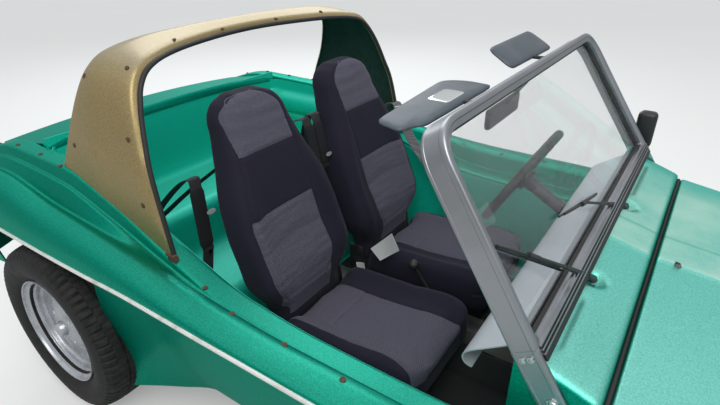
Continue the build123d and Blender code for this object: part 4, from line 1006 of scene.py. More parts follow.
hoop_turn_z = 1.15
# Rise of the skin over the straight line between its edges, as shares: (across, of the bulge)
hoop_swell = ((0.0, 0.0), (0.03, 0.70), (0.12, 1.0), (0.55, 1.15), (0.85, 0.60), (1.0, 0.0))

# The fourth colour is the painted sky reflection, paling the hoop where it faces up
gold_gelcoat = flake_gelcoat(
    "gold_flake_gelcoat", (0.120, 0.080, 0.026), (0.300, 0.220, 0.090), (0.58, 0.46, 0.24),
    (0.46, 0.44, 0.40), 0.40,
    metal=0.55, edge=(1.0, 0.93, 0.80),
)


def along_curve(a, b, c, d, s):
    """A share of the way from b to c, on a smooth curve through four points."""
    bend = (2 * a - 5 * b + 4 * c - d) * s * s
    return 0.5 * (2 * b + (c - a) * s + bend + (3 * b - a - 3 * c + d) * s ** 3)


def hoop_at(t):
    """Front edge, rear edge and bulge at t rows from the right foot, on a curve through the rows."""
    left = [np.array((r[0], r[1] * hoop_base_y, r[2], r[3], r[4] * hoop_base_y, r[5],
                      r[6])) for r in hoop_rows]
    across = np.array((1, -1, 1, 1, -1, 1, 1))
    rows = [row * across for row in left[:-1]] + left[::-1]
    rows = [2 * rows[0] - rows[1]] + rows + [2 * rows[-1] - rows[-2]]
    i = min(int(t), len(rows) - 4)
    a, b, c, d = rows[i:i + 4]
    value = along_curve(a, b, c, d, t - i)
    return Vector(value[:3]), Vector(value[3:6]), value[6]


def hoop_outward(place):
    """The way out of the hoop: sideways on its legs, turning upward over its crown."""
    return Vector((0, place.y, 3 * max(place.z - hoop_turn_z, 0))).normalized()


def on_hoop(front, rear, bulge, share):
    """A point of the skin, a share of the way from front edge to rear edge, and the way out there."""
    place = front.lerp(rear, share)
    out = hoop_outward(place)
    return place + out * bulge * smooth_rows(hoop_swell, share)[0], out


def hoop_section(t):
    front, rear, bulge = hoop_at(t)
    shares = [0.0, 0.008, 0.018, 0.03, 0.05, 0.08] + spread(0.12, 0.92, 0.05) + [0.95, 0.975, 0.99, 1.0]
    line = [on_hoop(front, rear, bulge, share)[0] for share in shares]
    lip = hoop_outward(front) * 0.010
    return [front - lip] + line + [rear - lip]


def roll_hoop():
    rows = [hoop_section(t) for t in spread(0, hoop_spans, 0.1)]
    finish = [gold_gelcoat, hoop_inside_painted_shade]
    piece = place_piece("roll_hoop", sheet_mesh("roll_hoop", rows, flip=True), finish,
                        replaces=["roll_hoop"])
    thicken(piece, thin_wall, inner=1)
    smooth_by_angle(piece, 40)

# The hoop's inside is bare green glass fibre; its very dark colour is painted shade, the shade inside the
# hoop
hoop_inside_painted_shade = surface("hoop_inside_painted_shade", (0.006, 0.022, 0.018), 0.6, cloud=(60, 4), fade=(0.3, 0.7),
                     colours=((0.004, 0.015, 0.012), (0.010, 0.034, 0.028)), relief=0.0008)
roll_hoop()

# Hoop edge trim
# A black rubber finisher pushed over the front lip of the hoop; its right end is held by a small clip.
rubber_black = surface("matt_rubber", (0.016, 0.016, 0.017), 0.62, cloud=(30, 3), gloss=(0.50, 0.74),
                       pits=(600, 2), relief=0.0004)


def ring_faces(rings, count, closed=False, ends=True):
    """Faces from each ring of points to the next; closed joins the last to the first, ends caps both."""
    faces = []
    for i in range(rings if closed else rings - 1):
        j = (i + 1) % rings
        for k in range(count):
            m = (k + 1) % count
            faces.append((i * count + k, i * count + m, j * count + m, j * count + k))
    if ends and not closed:
        faces += [tuple(range(count)), tuple(range((rings - 1) * count, rings * count))]
    return faces


def tube(name, points, radius, finish, sides=14, closed=False):
    """A round bar or pipe through points, with flat ends unless it closes on itself."""
    path = [Vector(p) for p in points]
    count = len(path)
    verts = []
    normal = None
    for i, here in enumerate(path):
        before = path[i - 1] if i or closed else here
        after = path[(i + 1) % count] if i < count - 1 or closed else here
        ahead = (after - before).normalized()
        if normal is None:
            normal = ahead.orthogonal().normalized()
        normal = (normal - ahead * normal.dot(ahead)).normalized()
        side = ahead.cross(normal)
        wide = radius[i] if isinstance(radius, (list, tuple)) else radius
        verts += [here + (normal * math.cos(a) + side * math.sin(a)) * wide for a in circle(sides)]
    mesh = new_mesh(name, verts, ring_faces(count, sides, closed))
    turn_out(mesh)
    piece = place_piece(name, mesh, finish)
    smooth_by_angle(piece, 40)
    return piece


def hoop_edge_trim():
    line = []
    for t in spread(0.0, hoop_spans, 0.1):
        front = hoop_at(t)[0]
        line.append(front + Vector((0.004, -0.003 * (1 if front.y > 0 else -1), -0.003)))
    piece = tube("hoop_edge_trim", line, 0.0075, rubber_black, 12)
    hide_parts("hoop_edge_trim")


hoop_edge_trim()

# Side trim strips
# A half-round white plastic strip pressed onto the rolled edge of each flank.
strip_proud = 0.004
white_plastic = surface("white_strip_plastic", (0.80, 0.81, 0.79), 0.32, cloud=(24, 4), fade=(0.5, 0.8),
                        colours=((0.82, 0.83, 0.81), (0.55, 0.53, 0.48)), gloss=(0.25, 0.55))


def side_trim():
    out = body_half + strip_proud
    # Rows: how far in from the strip's face, how far under the trim edge
    profile = ((0.008, 0.014), (0.0015, 0.0135), (0.0, 0.0095), (0.0015, 0.0055), (0.008, 0.005))
    pieces = []
    for side in (1, -1):
        rows = []
        for x in spread(tail_x, nose_joint_x, 0.025):
            edge = smooth_rows(side_rows, x)[3]
            rows.append([(x, side * (out - inward), edge - under) for inward, under in profile])
        pieces.append(skin("side_trim_strips", rows, white_plastic, 0.0015, flip=side > 0))
    whole = join_pieces(*pieces)
    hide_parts("side_trim_strips")
    smooth_by_angle(whole, 50)


side_trim()

# Studs and rivets
# Dome-headed steel studs, gone rusty, through the cockpit edges of both flanks and through the hoop,
# with a small clip that ends the hoop's edge trim; each stands proud of the gelcoat.
# Places of the flanks' studs: x, y from the middle
flank_studs = (
    (-1.420, 0.650), (-1.266, 0.650), (-1.112, 0.650), (-0.964, 0.662), (-0.460, 0.661), (-0.306, 0.665),
    (-0.133, 0.723), (0.048, 0.726), (0.231, 0.738), (0.420, 0.738), (0.600, 0.738),
)
# Places of the hoop's studs: rows of the hoop from its foot, share of the way from front to rear edge
hoop_studs = ((0.60, 0.125), (2.10, 0.100), (4.40, 0.150), (6.20, 0.100), (7.30, 0.040), (1.20, 0.860),
              (3.60, 0.880))
rust = surface("rusty_steel", (0.12, 0.070, 0.045), 0.8, 0.4, cloud=(260, 4, 0.65), fade=(0.35, 0.65),
               colours=((0.060, 0.040, 0.032), (0.190, 0.105, 0.062)), gloss=(0.55, 0.9), relief=0.0008)
stud_radius = 0.0060


def stud(place, out, radius, finish, sides=14):
    """A dome-headed stud on a washer, standing along a direction."""
    place, out = Vector(place), Vector(out).normalized()
    washer = tube("washer", [place - out * 0.002, place + out * 0.0012], radius * 1.35, finish, sides)
    steps = [place + out * h * radius for h in (0.0, 0.30, 0.52, 0.62)]
    head = tube("stud", steps, [radius, 0.92 * radius, 0.60 * radius, 0.20 * radius], finish, sides)
    return [washer, head]


def height_on_flank(x, y):
    line = side_line(x)
    for a, b in zip(line[:-1], line[1:]):
        if a.x <= y < b.x:
            return a.y + (b.y - a.y) * (y - a.x) / (b.x - a.x)
    return line[-1].y


pieces = []
for side in (1, -1):
    for x, y in flank_studs:
        pieces += stud((x, side * y, height_on_flank(x, y) + 0.001), (0, side * 0.15, 1), stud_radius, rust)
    for t, share in hoop_studs:
        pieces += stud(*on_hoop(*hoop_at(t if side < 0 else hoop_spans - t), share), stud_radius, rust)
    pieces.append(prism("trim_clip", [(-0.446, 0.766), (-0.418, 0.766), (-0.421, 0.784), (-0.448, 0.784)],
                        side * 0.655, side * 0.672, rust))
join_pieces(*pieces)

# Bonnet seal and washer jet
# A black rubber tube lies in the scuttle's gutter and closes the gap to the bonnet; a small nozzle for
# the screen washer is pushed through the bonnet at the edge of its centre band.


def bonnet_seal():
    line = [p for p in scuttle_line(scuttle_front_x, 0.021) if p.y > crown_low and abs(p.x) < 0.606]
    line = even_line(line, 120)
    path = [(0.7325 + 0.0008 * noise.noise(Vector((p.x * 9, 2.0, 0))), p.x, p.y) for p in line]
    seal = tube("bonnet_seal", path, 0.0062, rubber_black, 10)


bonnet_seal()
jet = Vector((0.788, -0.066, smooth_rows(front_rows, 0.788)[0] - 0.003))
nozzle = join_pieces(
    tube("washer_jet", [jet + Vector((0, 0, up)) for up in (-0.004, 0.003, 0.008)],
         [0.0095, 0.0090, 0.0062], cast_alloy, 6),
    tube("jet_nose", [jet + Vector((0.002, 0, 0.006)), jet + Vector((-0.007, 0, 0.009))], [0.0045, 0.0035],
         rubber_black, 10),
)
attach(nozzle, "bonnet")

# Windscreen frame
# A drawn aluminium section with a beaded outer edge, bent round the top corners; its sides run straight
# on as flat legs beside the scuttle, riveted and bolted through it, and three ribs close its foot.
screen_lean = math.radians(34.4)
screen_foot = Vector((0.587, 0, 0.908))
screen_up = Vector((-math.sin(screen_lean), 0, math.cos(screen_lean)))
screen_out = Vector((math.cos(screen_lean), 0, math.sin(screen_lean)))
screen_bottom_half = 0.630
screen_top_half = 0.600
screen_length = 0.475
screen_corner = 0.090
leg_drop = 0.190
leg_thick = 0.008


def on_screen(u, v, n):
    """A point of the screen: u to the driver's left, v up the glass, n out of it."""
    return screen_foot + Vector((0, u, 0)) + screen_up * v + screen_out * n


def drawn_aluminium():
    made, tree, shader, place = new_material("drawn_aluminium", (0.33, 0.34, 0.37), 0.36, 1.0)
    squeeze = node(tree, "ShaderNodeMapping", {"Vector": place, "Scale": (60.0, 4.0, 60.0)}).outputs["Vector"]
    streak = grain(tree, squeeze, 9, 4, 0.6)
    dull = steep(tree, grain(tree, place, 7, 3), 0.35, 0.80)
    set_colour(tree, shader, blend_colours(tree, dull, (0.36, 0.37, 0.40), (0.27, 0.275, 0.29)))
    set_roughness(tree, shader, streak, 0.30, 0.42)
    set_bump(tree, shader, streak, 0.00008)
    return made


aluminium = drawn_aluminium()
# The section's outer side and front, from the inside rear edge round to the slot of the glass
bar_outside = [
    (0.000, -0.030, 0.005), (0.000, -0.0215, 0.001), (0.0010, -0.0205, 0.0004), (0.0010, 0.0155, 0.0004),
    (0.000, 0.0165, 0.001), (0.000, 0.030, 0.009),
]
bar_inside = [
    (0.0128, 0.030, 0.0006), (0.0134, 0.0270, 0), (0.0146, 0.0270, 0), (0.0150, 0.0285, 0.0004),
    (0.028, 0.0215, 0.002), (0.028, 0.007, 0.001), (0.023, 0.007, 0), (0.023, -0.007, 0),
    (0.028, -0.007, 0.001),
    (0.028, -0.030, 0.004), (0.014, -0.030, 0),
]


def screen_ring(inset, n, foot_radius=0.012):
    """Points round the screen at an inset from its outside and a height over the glass."""
    low = screen_bottom_half - inset
    high = screen_top_half - inset
    top = screen_length - inset
    corner = screen_corner - inset
    line = round_line([
        (0, inset, 0), (low, inset, foot_radius), (high, top, corner), (-high, top, corner),
        (-low, inset, foot_radius), (0, inset, 0),
    ], 12)
    return [on_screen(u, v, n) for u, v in line[:-1]]


def ring_piece(name, profile, finish, foot_radius=0.012):
    """A bar that runs round the screen with a closed (inset, height) profile."""
    rows = [ring + ring[:1] for ring in (screen_ring(inset, n, foot_radius) for inset, n in profile)]
    mesh = sheet_mesh(name, rows, closed=True)
    turn_out(mesh, 0.00001)
    piece = place_piece(name, mesh, finish)
    smooth_by_angle(piece, 38)
    return piece


def screen_leg(side):
    """The flat foot of one pillar: the section's outer side, drawn on down in the lean of the screen."""
    inner = (leg_thick, -0.030, 0)
    line = round_line([inner, *bar_outside, (leg_thick, 0.030, 0), inner], 5)[:-1]
    rings = [[on_screen(side * (screen_bottom_half - inset), v, n) for inset, n in line]
             for v in (0.018, -leg_drop + 0.003, -leg_drop)]
    rings[-1] = [p.lerp(sum(rings[-1], Vector()) / len(line), 0.03) for p in rings[-1]]
    return closed_form("leg", rings, aluminium)


def closed_form(name, rings, finish):
    """A closed form through rings of points, with flat ends."""
    mesh = new_mesh(name, [p for ring in rings for p in ring], ring_faces(len(rings), len(rings[0])))
    turn_out(mesh)
    return place_piece(name, mesh, finish)


# Rows of the foot: lower and upper edge up the glass, height over the glass, and whether it is a rib
foot_rows = (
    (-0.0120, 0.0010, 0.0335, False),
    (0.0012, 0.0052, 0.0350, True),
    (0.0056, 0.0102, 0.0315, False),
    (0.0106, 0.0140, 0.0345, True),
    (0.0144, 0.0186, 0.0315, False),
    (0.0190, 0.0224, 0.0340, True),
)


def foot_bar(low, high, n, finish):
    """One long bar of the foot, across the screen."""
    half = screen_bottom_half - 0.010
    corners = [on_screen(0, *spot) for spot in ((low, 0.020), (high, 0.020), (high, n), (low, n))]
    return prism("foot_bar", [(p.x, p.z) for p in corners], -half, half, finish)


def windscreen_frame():
    line = round_line([(0.014, -0.030, 0)] + bar_outside + bar_inside, 5)[:-1]
    frame = ring_piece("windscreen_frame", line, aluminium)
    ribs = [foot_bar(low, high, n, aluminium) for low, high, n, rib in foot_rows if rib]
    whole = join_pieces(frame, screen_leg(1), screen_leg(-1), *ribs)
    round_edges(whole, 0.0007, 50)
    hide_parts("windscreen_frame")
    for side in (1, -1):
        for v, n, radius in ((0.000, -0.012, 0.0050), (0.000, 0.006, 0.0050), (-0.100, 0.004, 0.0095)):
            spot = on_screen(side * screen_bottom_half, v, n)
            stud(spot, (0, side, 0), radius, chrome_rivet, 6 if radius > 0.008 else 16)


chrome_rivet = new_material("rivet_alloy", (0.55, 0.56, 0.58), 0.28, 1.0)[0]
windscreen_frame()

# Windscreen glass
# One flat pane of clear safety glass, held in the frame by a thin black rubber seal on both faces; the
# seal's wide lip fills the slits between the ribs of the foot.


def clear_glass():
    made, tree, shader, place = new_material("clear_safety_glass", (0.95, 0.98, 0.97), 0.0, 0.0, {
        "Transmission Weight": 1.0, "IOR": 1.45, "Alpha": 0.22})
    set_roughness(tree, shader, steep(tree, grain(tree, place, 6, 3), 0.5, 0.9), 0.0, 0.03)
    return made


dress("windscreen_glass", clear_glass(), 0.0)
seal_profile = [(0.0235, 0.0105), (0.0235, 0.0032), (0.0325, 0.0032), (0.0335, 0.0045), (0.0325, 0.0075),
                (0.0285, 0.0115)]
for sign in (1, -1):
    seal = ring_piece("screen_seal", [(inset, sign * n) for inset, n in seal_profile], rubber_black, 0.010)
slits = join_pieces(*[foot_bar(low, high, n, rubber_black) for low, high, n, rib in foot_rows if not rib])

# Wipers
# Two black arms on low spindles in the scuttle's pockets, each with a bow and a rubber blade that rests
# on the glass; both park towards the passenger's side.
# Rows: spindle x and y, middle of the blade across and up the glass, fall of the blade to the left
wiper_table = (
    (0.626, -0.274, -0.4720, 0.136, 39.0),
    (0.622, 0.162, -0.1075, 0.102, 11.5),
)
spindle_z = 0.899
blade_half = 0.144
plastic_black = surface("satin_black_plastic", (0.018, 0.018, 0.019), 0.42, cloud=(40, 3), gloss=(0.34, 0.55),
                        pits=(900, 2), relief=0.0002)


def flat_bar(name, start, end, half, deep, up, finish):
    """A straight bar of rectangular section that narrows from start to end; half and deep are pairs."""
    ahead = (end - start).normalized()
    side = ahead.cross(up).normalized()
    lift = side.cross(ahead)
    section = ((-1, -1), (1, -1), (1, 0.4), (0.6, 1), (-0.6, 1), (-1, 0.4))
    rings = [[place + side * (h * u) + lift * (d * v) for u, v in section]
             for place, h, d in ((start, half[0], deep[0]), (end, half[1], deep[1]))]
    return closed_form(name, rings, finish)


def wiper(x, y, blade_y, blade_up, fall):
    pivot = Vector((x, y, spindle_z))
    tip = on_screen(blade_y, blade_up, 0.022)
    ahead = (tip - pivot).normalized()
    up = (screen_out - ahead * screen_out.dot(ahead)).normalized()
    elbow = pivot + ahead * 0.034 + up * 0.004
    hold = pivot + ahead * 0.52 * (tip - pivot).length + up * 0.006
    fall = math.radians(fall)
    way = screen_up * math.sin(fall) - Vector((0, 1, 0)) * math.cos(fall)
    ends = [tip - way * blade_half, tip + way * blade_half]

    def over_blade(share, lift):
        return ends[0].lerp(ends[1], share) + screen_out * lift

    pieces = [
        tube("spindle", [pivot - Vector((0, 0, 0.024)), pivot], 0.0085, plastic_black),
        tube("nut", [pivot - Vector((0, 0, 0.012)), pivot - Vector((0, 0, 0.006))], 0.012, chrome_rivet, 6),
        flat_bar("head", pivot - ahead * 0.010, elbow, (0.0085, 0.0080), (0.0065, 0.0060), up, plastic_black),
        flat_bar("arm", elbow, hold, (0.0070, 0.0050), (0.0045, 0.0030), up, plastic_black),
        flat_bar("rod", hold, tip + up * 0.004, (0.0042, 0.0028), (0.0022, 0.0018), up, plastic_black),
    ]
    bow = [over_blade(s, 0.007 * math.sin(math.pi * s) - 0.009) for s in spread(0.08, 0.92, 0.06)]
    pieces.append(tube("bow", bow, 0.0030, plastic_black, 8))
    for low, high in ((0.08, 0.36), (0.64, 0.92)):
        claw = [over_blade(s, 0.003 * math.sin(math.pi * (s - low) / (high - low)) - 0.0105)
                for s in spread(low, high, 0.04)]
        pieces.append(tube("claw", claw, 0.0034, plastic_black, 8))
    for name, start, end, half, deep, finish in (
            ("bridge", tip - way * 0.020 + screen_out * 0.001, tip + way * 0.020 + screen_out * 0.001,
             0.0060, 0.0050, plastic_black),
            ("blade", ends[0] - screen_out * 0.014, ends[1] - screen_out * 0.014, 0.0022, 0.0035,
             rubber_black)):
        pieces.append(flat_bar(name, start, end, (half, half), (deep, deep), screen_out, finish))
    return pieces


wipers = join_pieces(*[piece for row in wiper_table for piece in wiper(*row)])
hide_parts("wipers")

# Sun visors
# Two soft vinyl pads on short black arms under the top rail, swung flat over the cabin; the
# passenger's carries a small set-in mirror.


def grained_vinyl():
    made, tree, shader, place = new_material("grained_vinyl", (0.060, 0.078, 0.098), 0.5)
    cells = node(tree, "ShaderNodeTexVoronoi", {"Vector": place, "Scale": 480.0}, feature="DISTANCE_TO_EDGE")
    set_bump(tree, shader, cells.outputs["Distance"], 0.0006, 0.5)
    wear = steep(tree, grain(tree, place, 12, 3), 0.45, 0.8)
    set_colour(tree, shader, blend_colours(tree, wear, (0.052, 0.068, 0.088), (0.105, 0.125, 0.145)))
    set_roughness(tree, shader, wear, 0.40, 0.60)
    return made


visor_vinyl = grained_vinyl()
chrome = surface("polished_chrome", (0.68, 0.69, 0.70), 0.10, 1.0, cloud=(30, 4), gloss=(0.05, 0.22))
mirror_silver = surface("mirror_glass", (0.86, 0.88, 0.88), 0.03, 1.0, cloud=(8, 2), gloss=(0.01, 0.06))


def pillow_slab(name, outline, base, across, along, up, thick, finish):
    """A soft flat pad: a rounded outline in two directions, swelling to its thickness inside the edge."""
    ring = round_line(outline, 6)
    centre = sum(ring, Vector((0, 0))) / len(ring)
    shares = (0.0, 0.35, 0.7, 0.92, 1.0, 1.0, 0.92, 0.7, 0.35, 0.0)
    verts = []
    for i, share in enumerate(shares):
        side = 1 if i < len(shares) // 2 else -1
        level = side * thick / 2 * math.sqrt(max(0.0, 1 - share ** 8)) if share < 1 else side * thick * 0.12
        for p in ring:
            q = centre + (p - centre) * max(share, 0.001)
            verts.append(base + across * q.x + along * q.y + up * level)
    mesh = new_mesh(name, verts, ring_faces(len(shares), len(ring), ends=False))
    turn_out(mesh, 0.0004)
    piece = place_piece(name, mesh, finish)
    for face in mesh.polygons:
        face.use_smooth = True
    return piece


visor_height = 1.282
# Rows: outline (x, y, set-back), x of the front edge, tilt of the rear edge upward, y of the arm
visor_table = (
    (((0.180, -0.392, 0), (0.194, -0.556, 0.020), (0.262, -0.578, 0.020), (0.268, -0.541, 0.014),
      (0.286, -0.517, 0.014), (0.288, -0.167, 0.020), (0.214, -0.160, 0.030), (0.165, -0.192, 0.030),
      (0.168, -0.250, 0)), 0.280, 0, -0.330),
    (((0.178, 0.200, 0), (0.178, 0.036, 0.028), (0.268, 0.030, 0.028), (0.273, 0.396, 0.028),
      (0.178, 0.388, 0.028), (0.178, 0.220, 0)), 0.268, 30, 0.215),
)
visor_thick = 0.019


def sun_visor(outline, front_x, tilt, arm_y):
    lean = math.radians(tilt)
    back = Vector((math.cos(lean), 0, -math.sin(lean)))
    up = Vector((math.sin(lean), 0, math.cos(lean)))
    base = Vector((front_x, 0, visor_height))
    line = [(x - front_x, y, r) for x, y, r in outline]
    pad = pillow_slab("sun_visor", line, base, back, Vector((0, 1, 0)), up, visor_thick, visor_vinyl)
    arm = tube("visor_arm", [(front_x - 0.028, arm_y, visor_height), (0.300, arm_y, visor_height + 0.001),
                             (0.318, arm_y, visor_height + 0.002)], 0.0055, plastic_black, 10)
    return pad


visor_pads = [sun_visor(*row) for row in visor_table]
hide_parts("sun_visors")
glass_line = [
    (0.0, 0.052, 0), (0.026, 0.050, 0.014), (0.028, -0.050, 0.014), (-0.026, -0.052, 0.014),
    (-0.028, 0.050, 0.014), (0.0, 0.052, 0),
]
pillow_slab("vanity_mirror", glass_line, Vector((0.2425, -0.334, visor_height + 0.0094)), Vector((1, 0, 0)),
            Vector((0, 1, 0)), Vector((0, 0, 1)), 0.002, mirror_silver)

# Mirrors
# A black door mirror on a bent arm from the driver's pillar, and a framed inside mirror hung from the
# top rail on a thin stalk.


def soft_block(name, low, high, finish, radius=0.012, segments=4):
    """A box between two corners with rounded edges."""
    edit = bmesh.new()
    bmesh.ops.create_cube(edit, size=1.0)
    low, high = Vector(low), Vector(high)
    for vert in edit.verts:
        vert.co = Vector((low[k] + (vert.co[k] + 0.5) * (high[k] - low[k]) for k in range(3)))
    bmesh.ops.bevel(edit, geom=edit.edges[:], offset=radius, segments=segments, profile=0.5, affect="EDGES")
    mesh = bpy.data.meshes.new(name)
    edit.to_mesh(mesh)
    edit.free()
    piece = place_piece(name, mesh, finish)
    smooth_by_angle(piece, 40)
    return piece


def mirrors():
    y = screen_bottom_half
    arm = [(0.598, y - 0.004, 0.860), (0.594, y + 0.025, 0.885), (0.582, y + 0.055, 0.935)]
    stem = [(0.272, 0, 1.185), (0.286, 0, 1.212), (0.322, 0, 1.262)]
    case = soft_block("door_mirror", (0.550, y + 0.038, 0.905), (0.612, y + 0.086, 1.040), plastic_black,
                      0.017)
    bow = tube("mirror_arm", arm, 0.007, plastic_black)
    face = soft_block("door_glass", (0.5475, y + 0.044, 0.915), (0.5505, y + 0.080, 1.030), mirror_silver,
                      0.001, 1)
    inner = soft_block("inside_mirror", (0.260, -0.120, 1.146), (0.278, 0.110, 1.204), plastic_black, 0.008)
    glass = soft_block("inside_glass", (0.2587, -0.113, 1.153), (0.2610, 0.103, 1.197), mirror_silver,
                       0.001, 1)
    stalk = tube("mirror_stalk", stem, 0.0055, plastic_black)
    whole = join_pieces(case, bow, face, inner, glass, stalk)
    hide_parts("mirrors")


mirrors()

# Dashboard
# One folded aluminium sheet from the screen's foot: a flat shelf with a rolled rear edge, riveted to
# the scuttle; a small round dial hangs under it over the steering column.
dash_half = 0.593
wheel_y = 0.280
column_lean = math.radians(29)
wheel_axis = Vector((-math.cos(column_lean), 0, math.sin(column_lean)))


def dull_aluminium():
    made, tree, shader, place = new_material("dull_aluminium", (0.52, 0.56, 0.60), 0.46, 0.6)
    streak = node(tree, "ShaderNodeMapping", {"Vector": place, "Scale": (70.0, 3.0, 70.0)}).outputs["Vector"]
    lines = grain(tree, streak, 8, 4, 0.6)
    set_colour(tree, shader, blend_colours(tree, lines, (0.48, 0.52, 0.56), (0.58, 0.62, 0.66)))
    set_roughness(tree, shader, lines, 0.40, 0.58)
    set_bump(tree, shader, lines, 0.0001)
    return made


dash_alloy = dull_aluminium()


def dashboard():
    line = round_line([
        (0.560, 0.880, 0), (0.560, 0.905, 0.006), (0.462, 0.8355, 0.016), (0.448, 0.8215, 0.010),
        (0.447, 0.808, 0.008), (0.456, 0.7965, 0.008), (0.4700, 0.7955, 0),
    ], 7)
    rows = [[(x, y, z) for x, z in line] for y in spread(-dash_half, dash_half, 0.04)]
    piece = skin("dashboard", rows, dash_alloy, 0.003)
    middle = Vector((0.474, wheel_y, 0.800))
    dial = [middle - wheel_axis * 0.030, middle + wheel_axis * 0.004, middle + wheel_axis * 0.006]
    face = [middle + wheel_axis * 0.0055, middle + wheel_axis * 0.0068]
    whole = join_pieces(piece, tube("dial", dial, [0.029, 0.029, 0.026], chrome, 40),
                        tube("dial_face", face, 0.0245, plastic_black, 40))
    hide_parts("dashboard")
    smooth_by_angle(whole, panel_crease)


dashboard()

# Steering wheel
# A thick rim in black leather over a steel ring, three flat alloy spokes and a round centre pad, all
# clamped to the end of the column.
wheel_centre = Vector((0.273, wheel_y, 0.860))
wheel_up = Vector((math.sin(column_lean), 0, math.cos(column_lean)))
leather = surface("worn_leather", (0.017, 0.017, 0.017), 0.45, cloud=(14, 4), gloss=(0.34, 0.58),
                  pits=(700, 3),
                  relief=0.0004)


def steering_wheel():
    def at(turn, radius, lift=0.0):
        return (wheel_centre + Vector((0, 1,
                                       0)) * radius * math.cos(turn) + wheel_up * radius * math.sin(turn)
                + wheel_axis * lift)

    grip = [0.0150 - 0.0012 * (k % 4 == 0) for k in range(96)]
    rim = tube("wheel_rim", [at(a, 0.185) for a in circle(96)], grip, leather, 16, closed=True)
    fine = new_material("spoke_black", (0.020, 0.020, 0.021), 0.35)[0]
    pieces = []
    # Half width of a spoke at three radii
    corners = ((0.030, 0.022), (0.110, 0.014), (0.178, 0.019))
    for turn in (0.0, math.pi, 1.5 * math.pi):
        side = Vector((0, 1, 0)) * -math.sin(turn) + wheel_up * math.cos(turn)
        ring = [at(turn, r, -0.010) + side * w for r, w in corners]
        ring += [at(turn, r, -0.010) - side * w for r, w in corners[::-1]]
        mesh = new_mesh("spoke", ring + [p + wheel_axis * 0.004 for p in ring], ring_faces(2, len(ring)))
        turn_out(mesh)
        pieces.append(place_piece("spoke", mesh, fine, body="steering_wheel"))
    # Heights along the column and radii of the centre pad and of the boss under it
    for name, heights, radii, sides in (
            ("hub", (-0.030, -0.006, 0.004, 0.006), [0.042, 0.042, 0.036, 0.028], 40),
            ("boss", (-0.068, -0.028), [0.021, 0.026], 24)):
        steps = [wheel_centre + wheel_axis * h for h in heights]
        pieces.append(tube(name, steps, radii, plastic_black, sides))
    whole = join_pieces(rim, *pieces)
    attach(whole, "steering_wheel")
    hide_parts("steering_wheel")


steering_wheel()

# Pedals, hand controls and carpet
# Pressed steel pedals, a thin gear lever with a round knob and a hand brake on the tunnel; short black
# carpet is glued over the pans and the tunnel sides.


def pile_carpet():
    made, tree, shader, place = new_material("pile_carpet", (0.022, 0.022, 0.024), 0.95, 0.0,
                                             {"Sheen Weight": 0.2})
    tufts = grain(tree, place, 700, 3, 0.7)
    lit = steep(tree, tufts, 0.3, 0.7)
    set_colour(tree, shader, blend_colours(tree, lit, (0.012, 0.012, 0.013), (0.045, 0.045, 0.048)))
    set_bump(tree, shader, tufts, 0.002)
    return made


dress("pedals", chassis_black)
dress("hand_controls", plastic_black, 0.001)
carpet = pile_carpet()


def floor_carpet():
    # From the foot of the side wall over the pan and up the tunnel: y, z, rounding
    line = round_line([
        (0.588, 0.2100, 0), (0.588, 0.2135, 0), (0.078, 0.2135, 0.02), (0.0735, 0.345, 0),
    ])
    whole = join_pieces(*[
        skin("carpet", [[(x, side * y, z) for y, z in line] for x in spread(-0.495, 0.685, 0.04)], carpet,
             0.003,
             flip=side < 0, offset=0.0)
        for side in (1, -1)
    ])
    smooth_by_angle(whole, 40)


floor_carpet()

# Seats
# High-back foam seats in stretch covers: dark charcoal knit with paler ribbed insets on the head, the
# small of the back and the cushion; each cushion lies on a black steel box bolted to the floor pan.
seat_y = 0.262
# Rows: height, rear x, front x, half width, hollow between the bolsters
back_rows = (
    (0.404, -0.316, -0.243, 0.172, 0.000),
    (0.482, -0.334, -0.243, 0.174, 0.000),
    (0.540, -0.352, -0.229, 0.206, 0.006),
    (0.600, -0.370, -0.222, 0.230, 0.018),
    (0.720, -0.411, -0.266, 0.232, 0.028),
    (0.840, -0.453, -0.312, 0.222, 0.024),
    (0.980, -0.503, -0.380, 0.180, 0.010),
    (1.060, -0.530, -0.420, 0.158, 0.003),
    (1.120, -0.546, -0.448, 0.148, 0.000),
    (1.176, -0.556, -0.468, 0.140, 0.000),
)
# Rows: x, height of the middle of the top, half width
cushion_rows = (
    (-0.232, 0.452, 0.222),
    (-0.205, 0.478, 0.226),
    (0.060, 0.500, 0.228),
    (0.200, 0.514, 0.228),
    (0.286, 0.508, 0.224),
)
cushion_base = 0.392
# The grey insets lie a little outside the middle of each seat, less so on the head
inset_y = 0.306
head_inset_y = 0.278
head_seam, waist_seam, lap_seam = 1.005, 0.825, -0.077
# Heights on the front panel: its arch, the shoulders where it widens, the taper and the end at its foot
arch_top, arch_foot = 1.172, 1.10
shoulder_top, shoulder_foot = 1.00, 0.80
taper_top, panel_foot = 0.64, 0.535
head_panel_half, waist_panel_half, lap_panel_half = 0.122, 0.152, 0.128
# The stuffing swells each cover for some frames, by no more than this travel
stuffing_frames = 20
stuffing_travel = 0.008
cabin_black = (0.012, 0.0115, 0.018)
inset_grey = (0.138, 0.130, 0.180)


def dome(count, low, high, reach):
    """Places from low to high with rounded ends: (place, share of the full size, 0.45 to 1)."""
    rows = []
    for place in spread(low, high, (high - low) / count):
        away = min(place - low, high - place) / reach
        share = math.sqrt(max(0.0, 1 - (1 - min(away, 1.0)) ** 2))
        rows.append((place, 0.45 + 0.55 * share))
    return rows


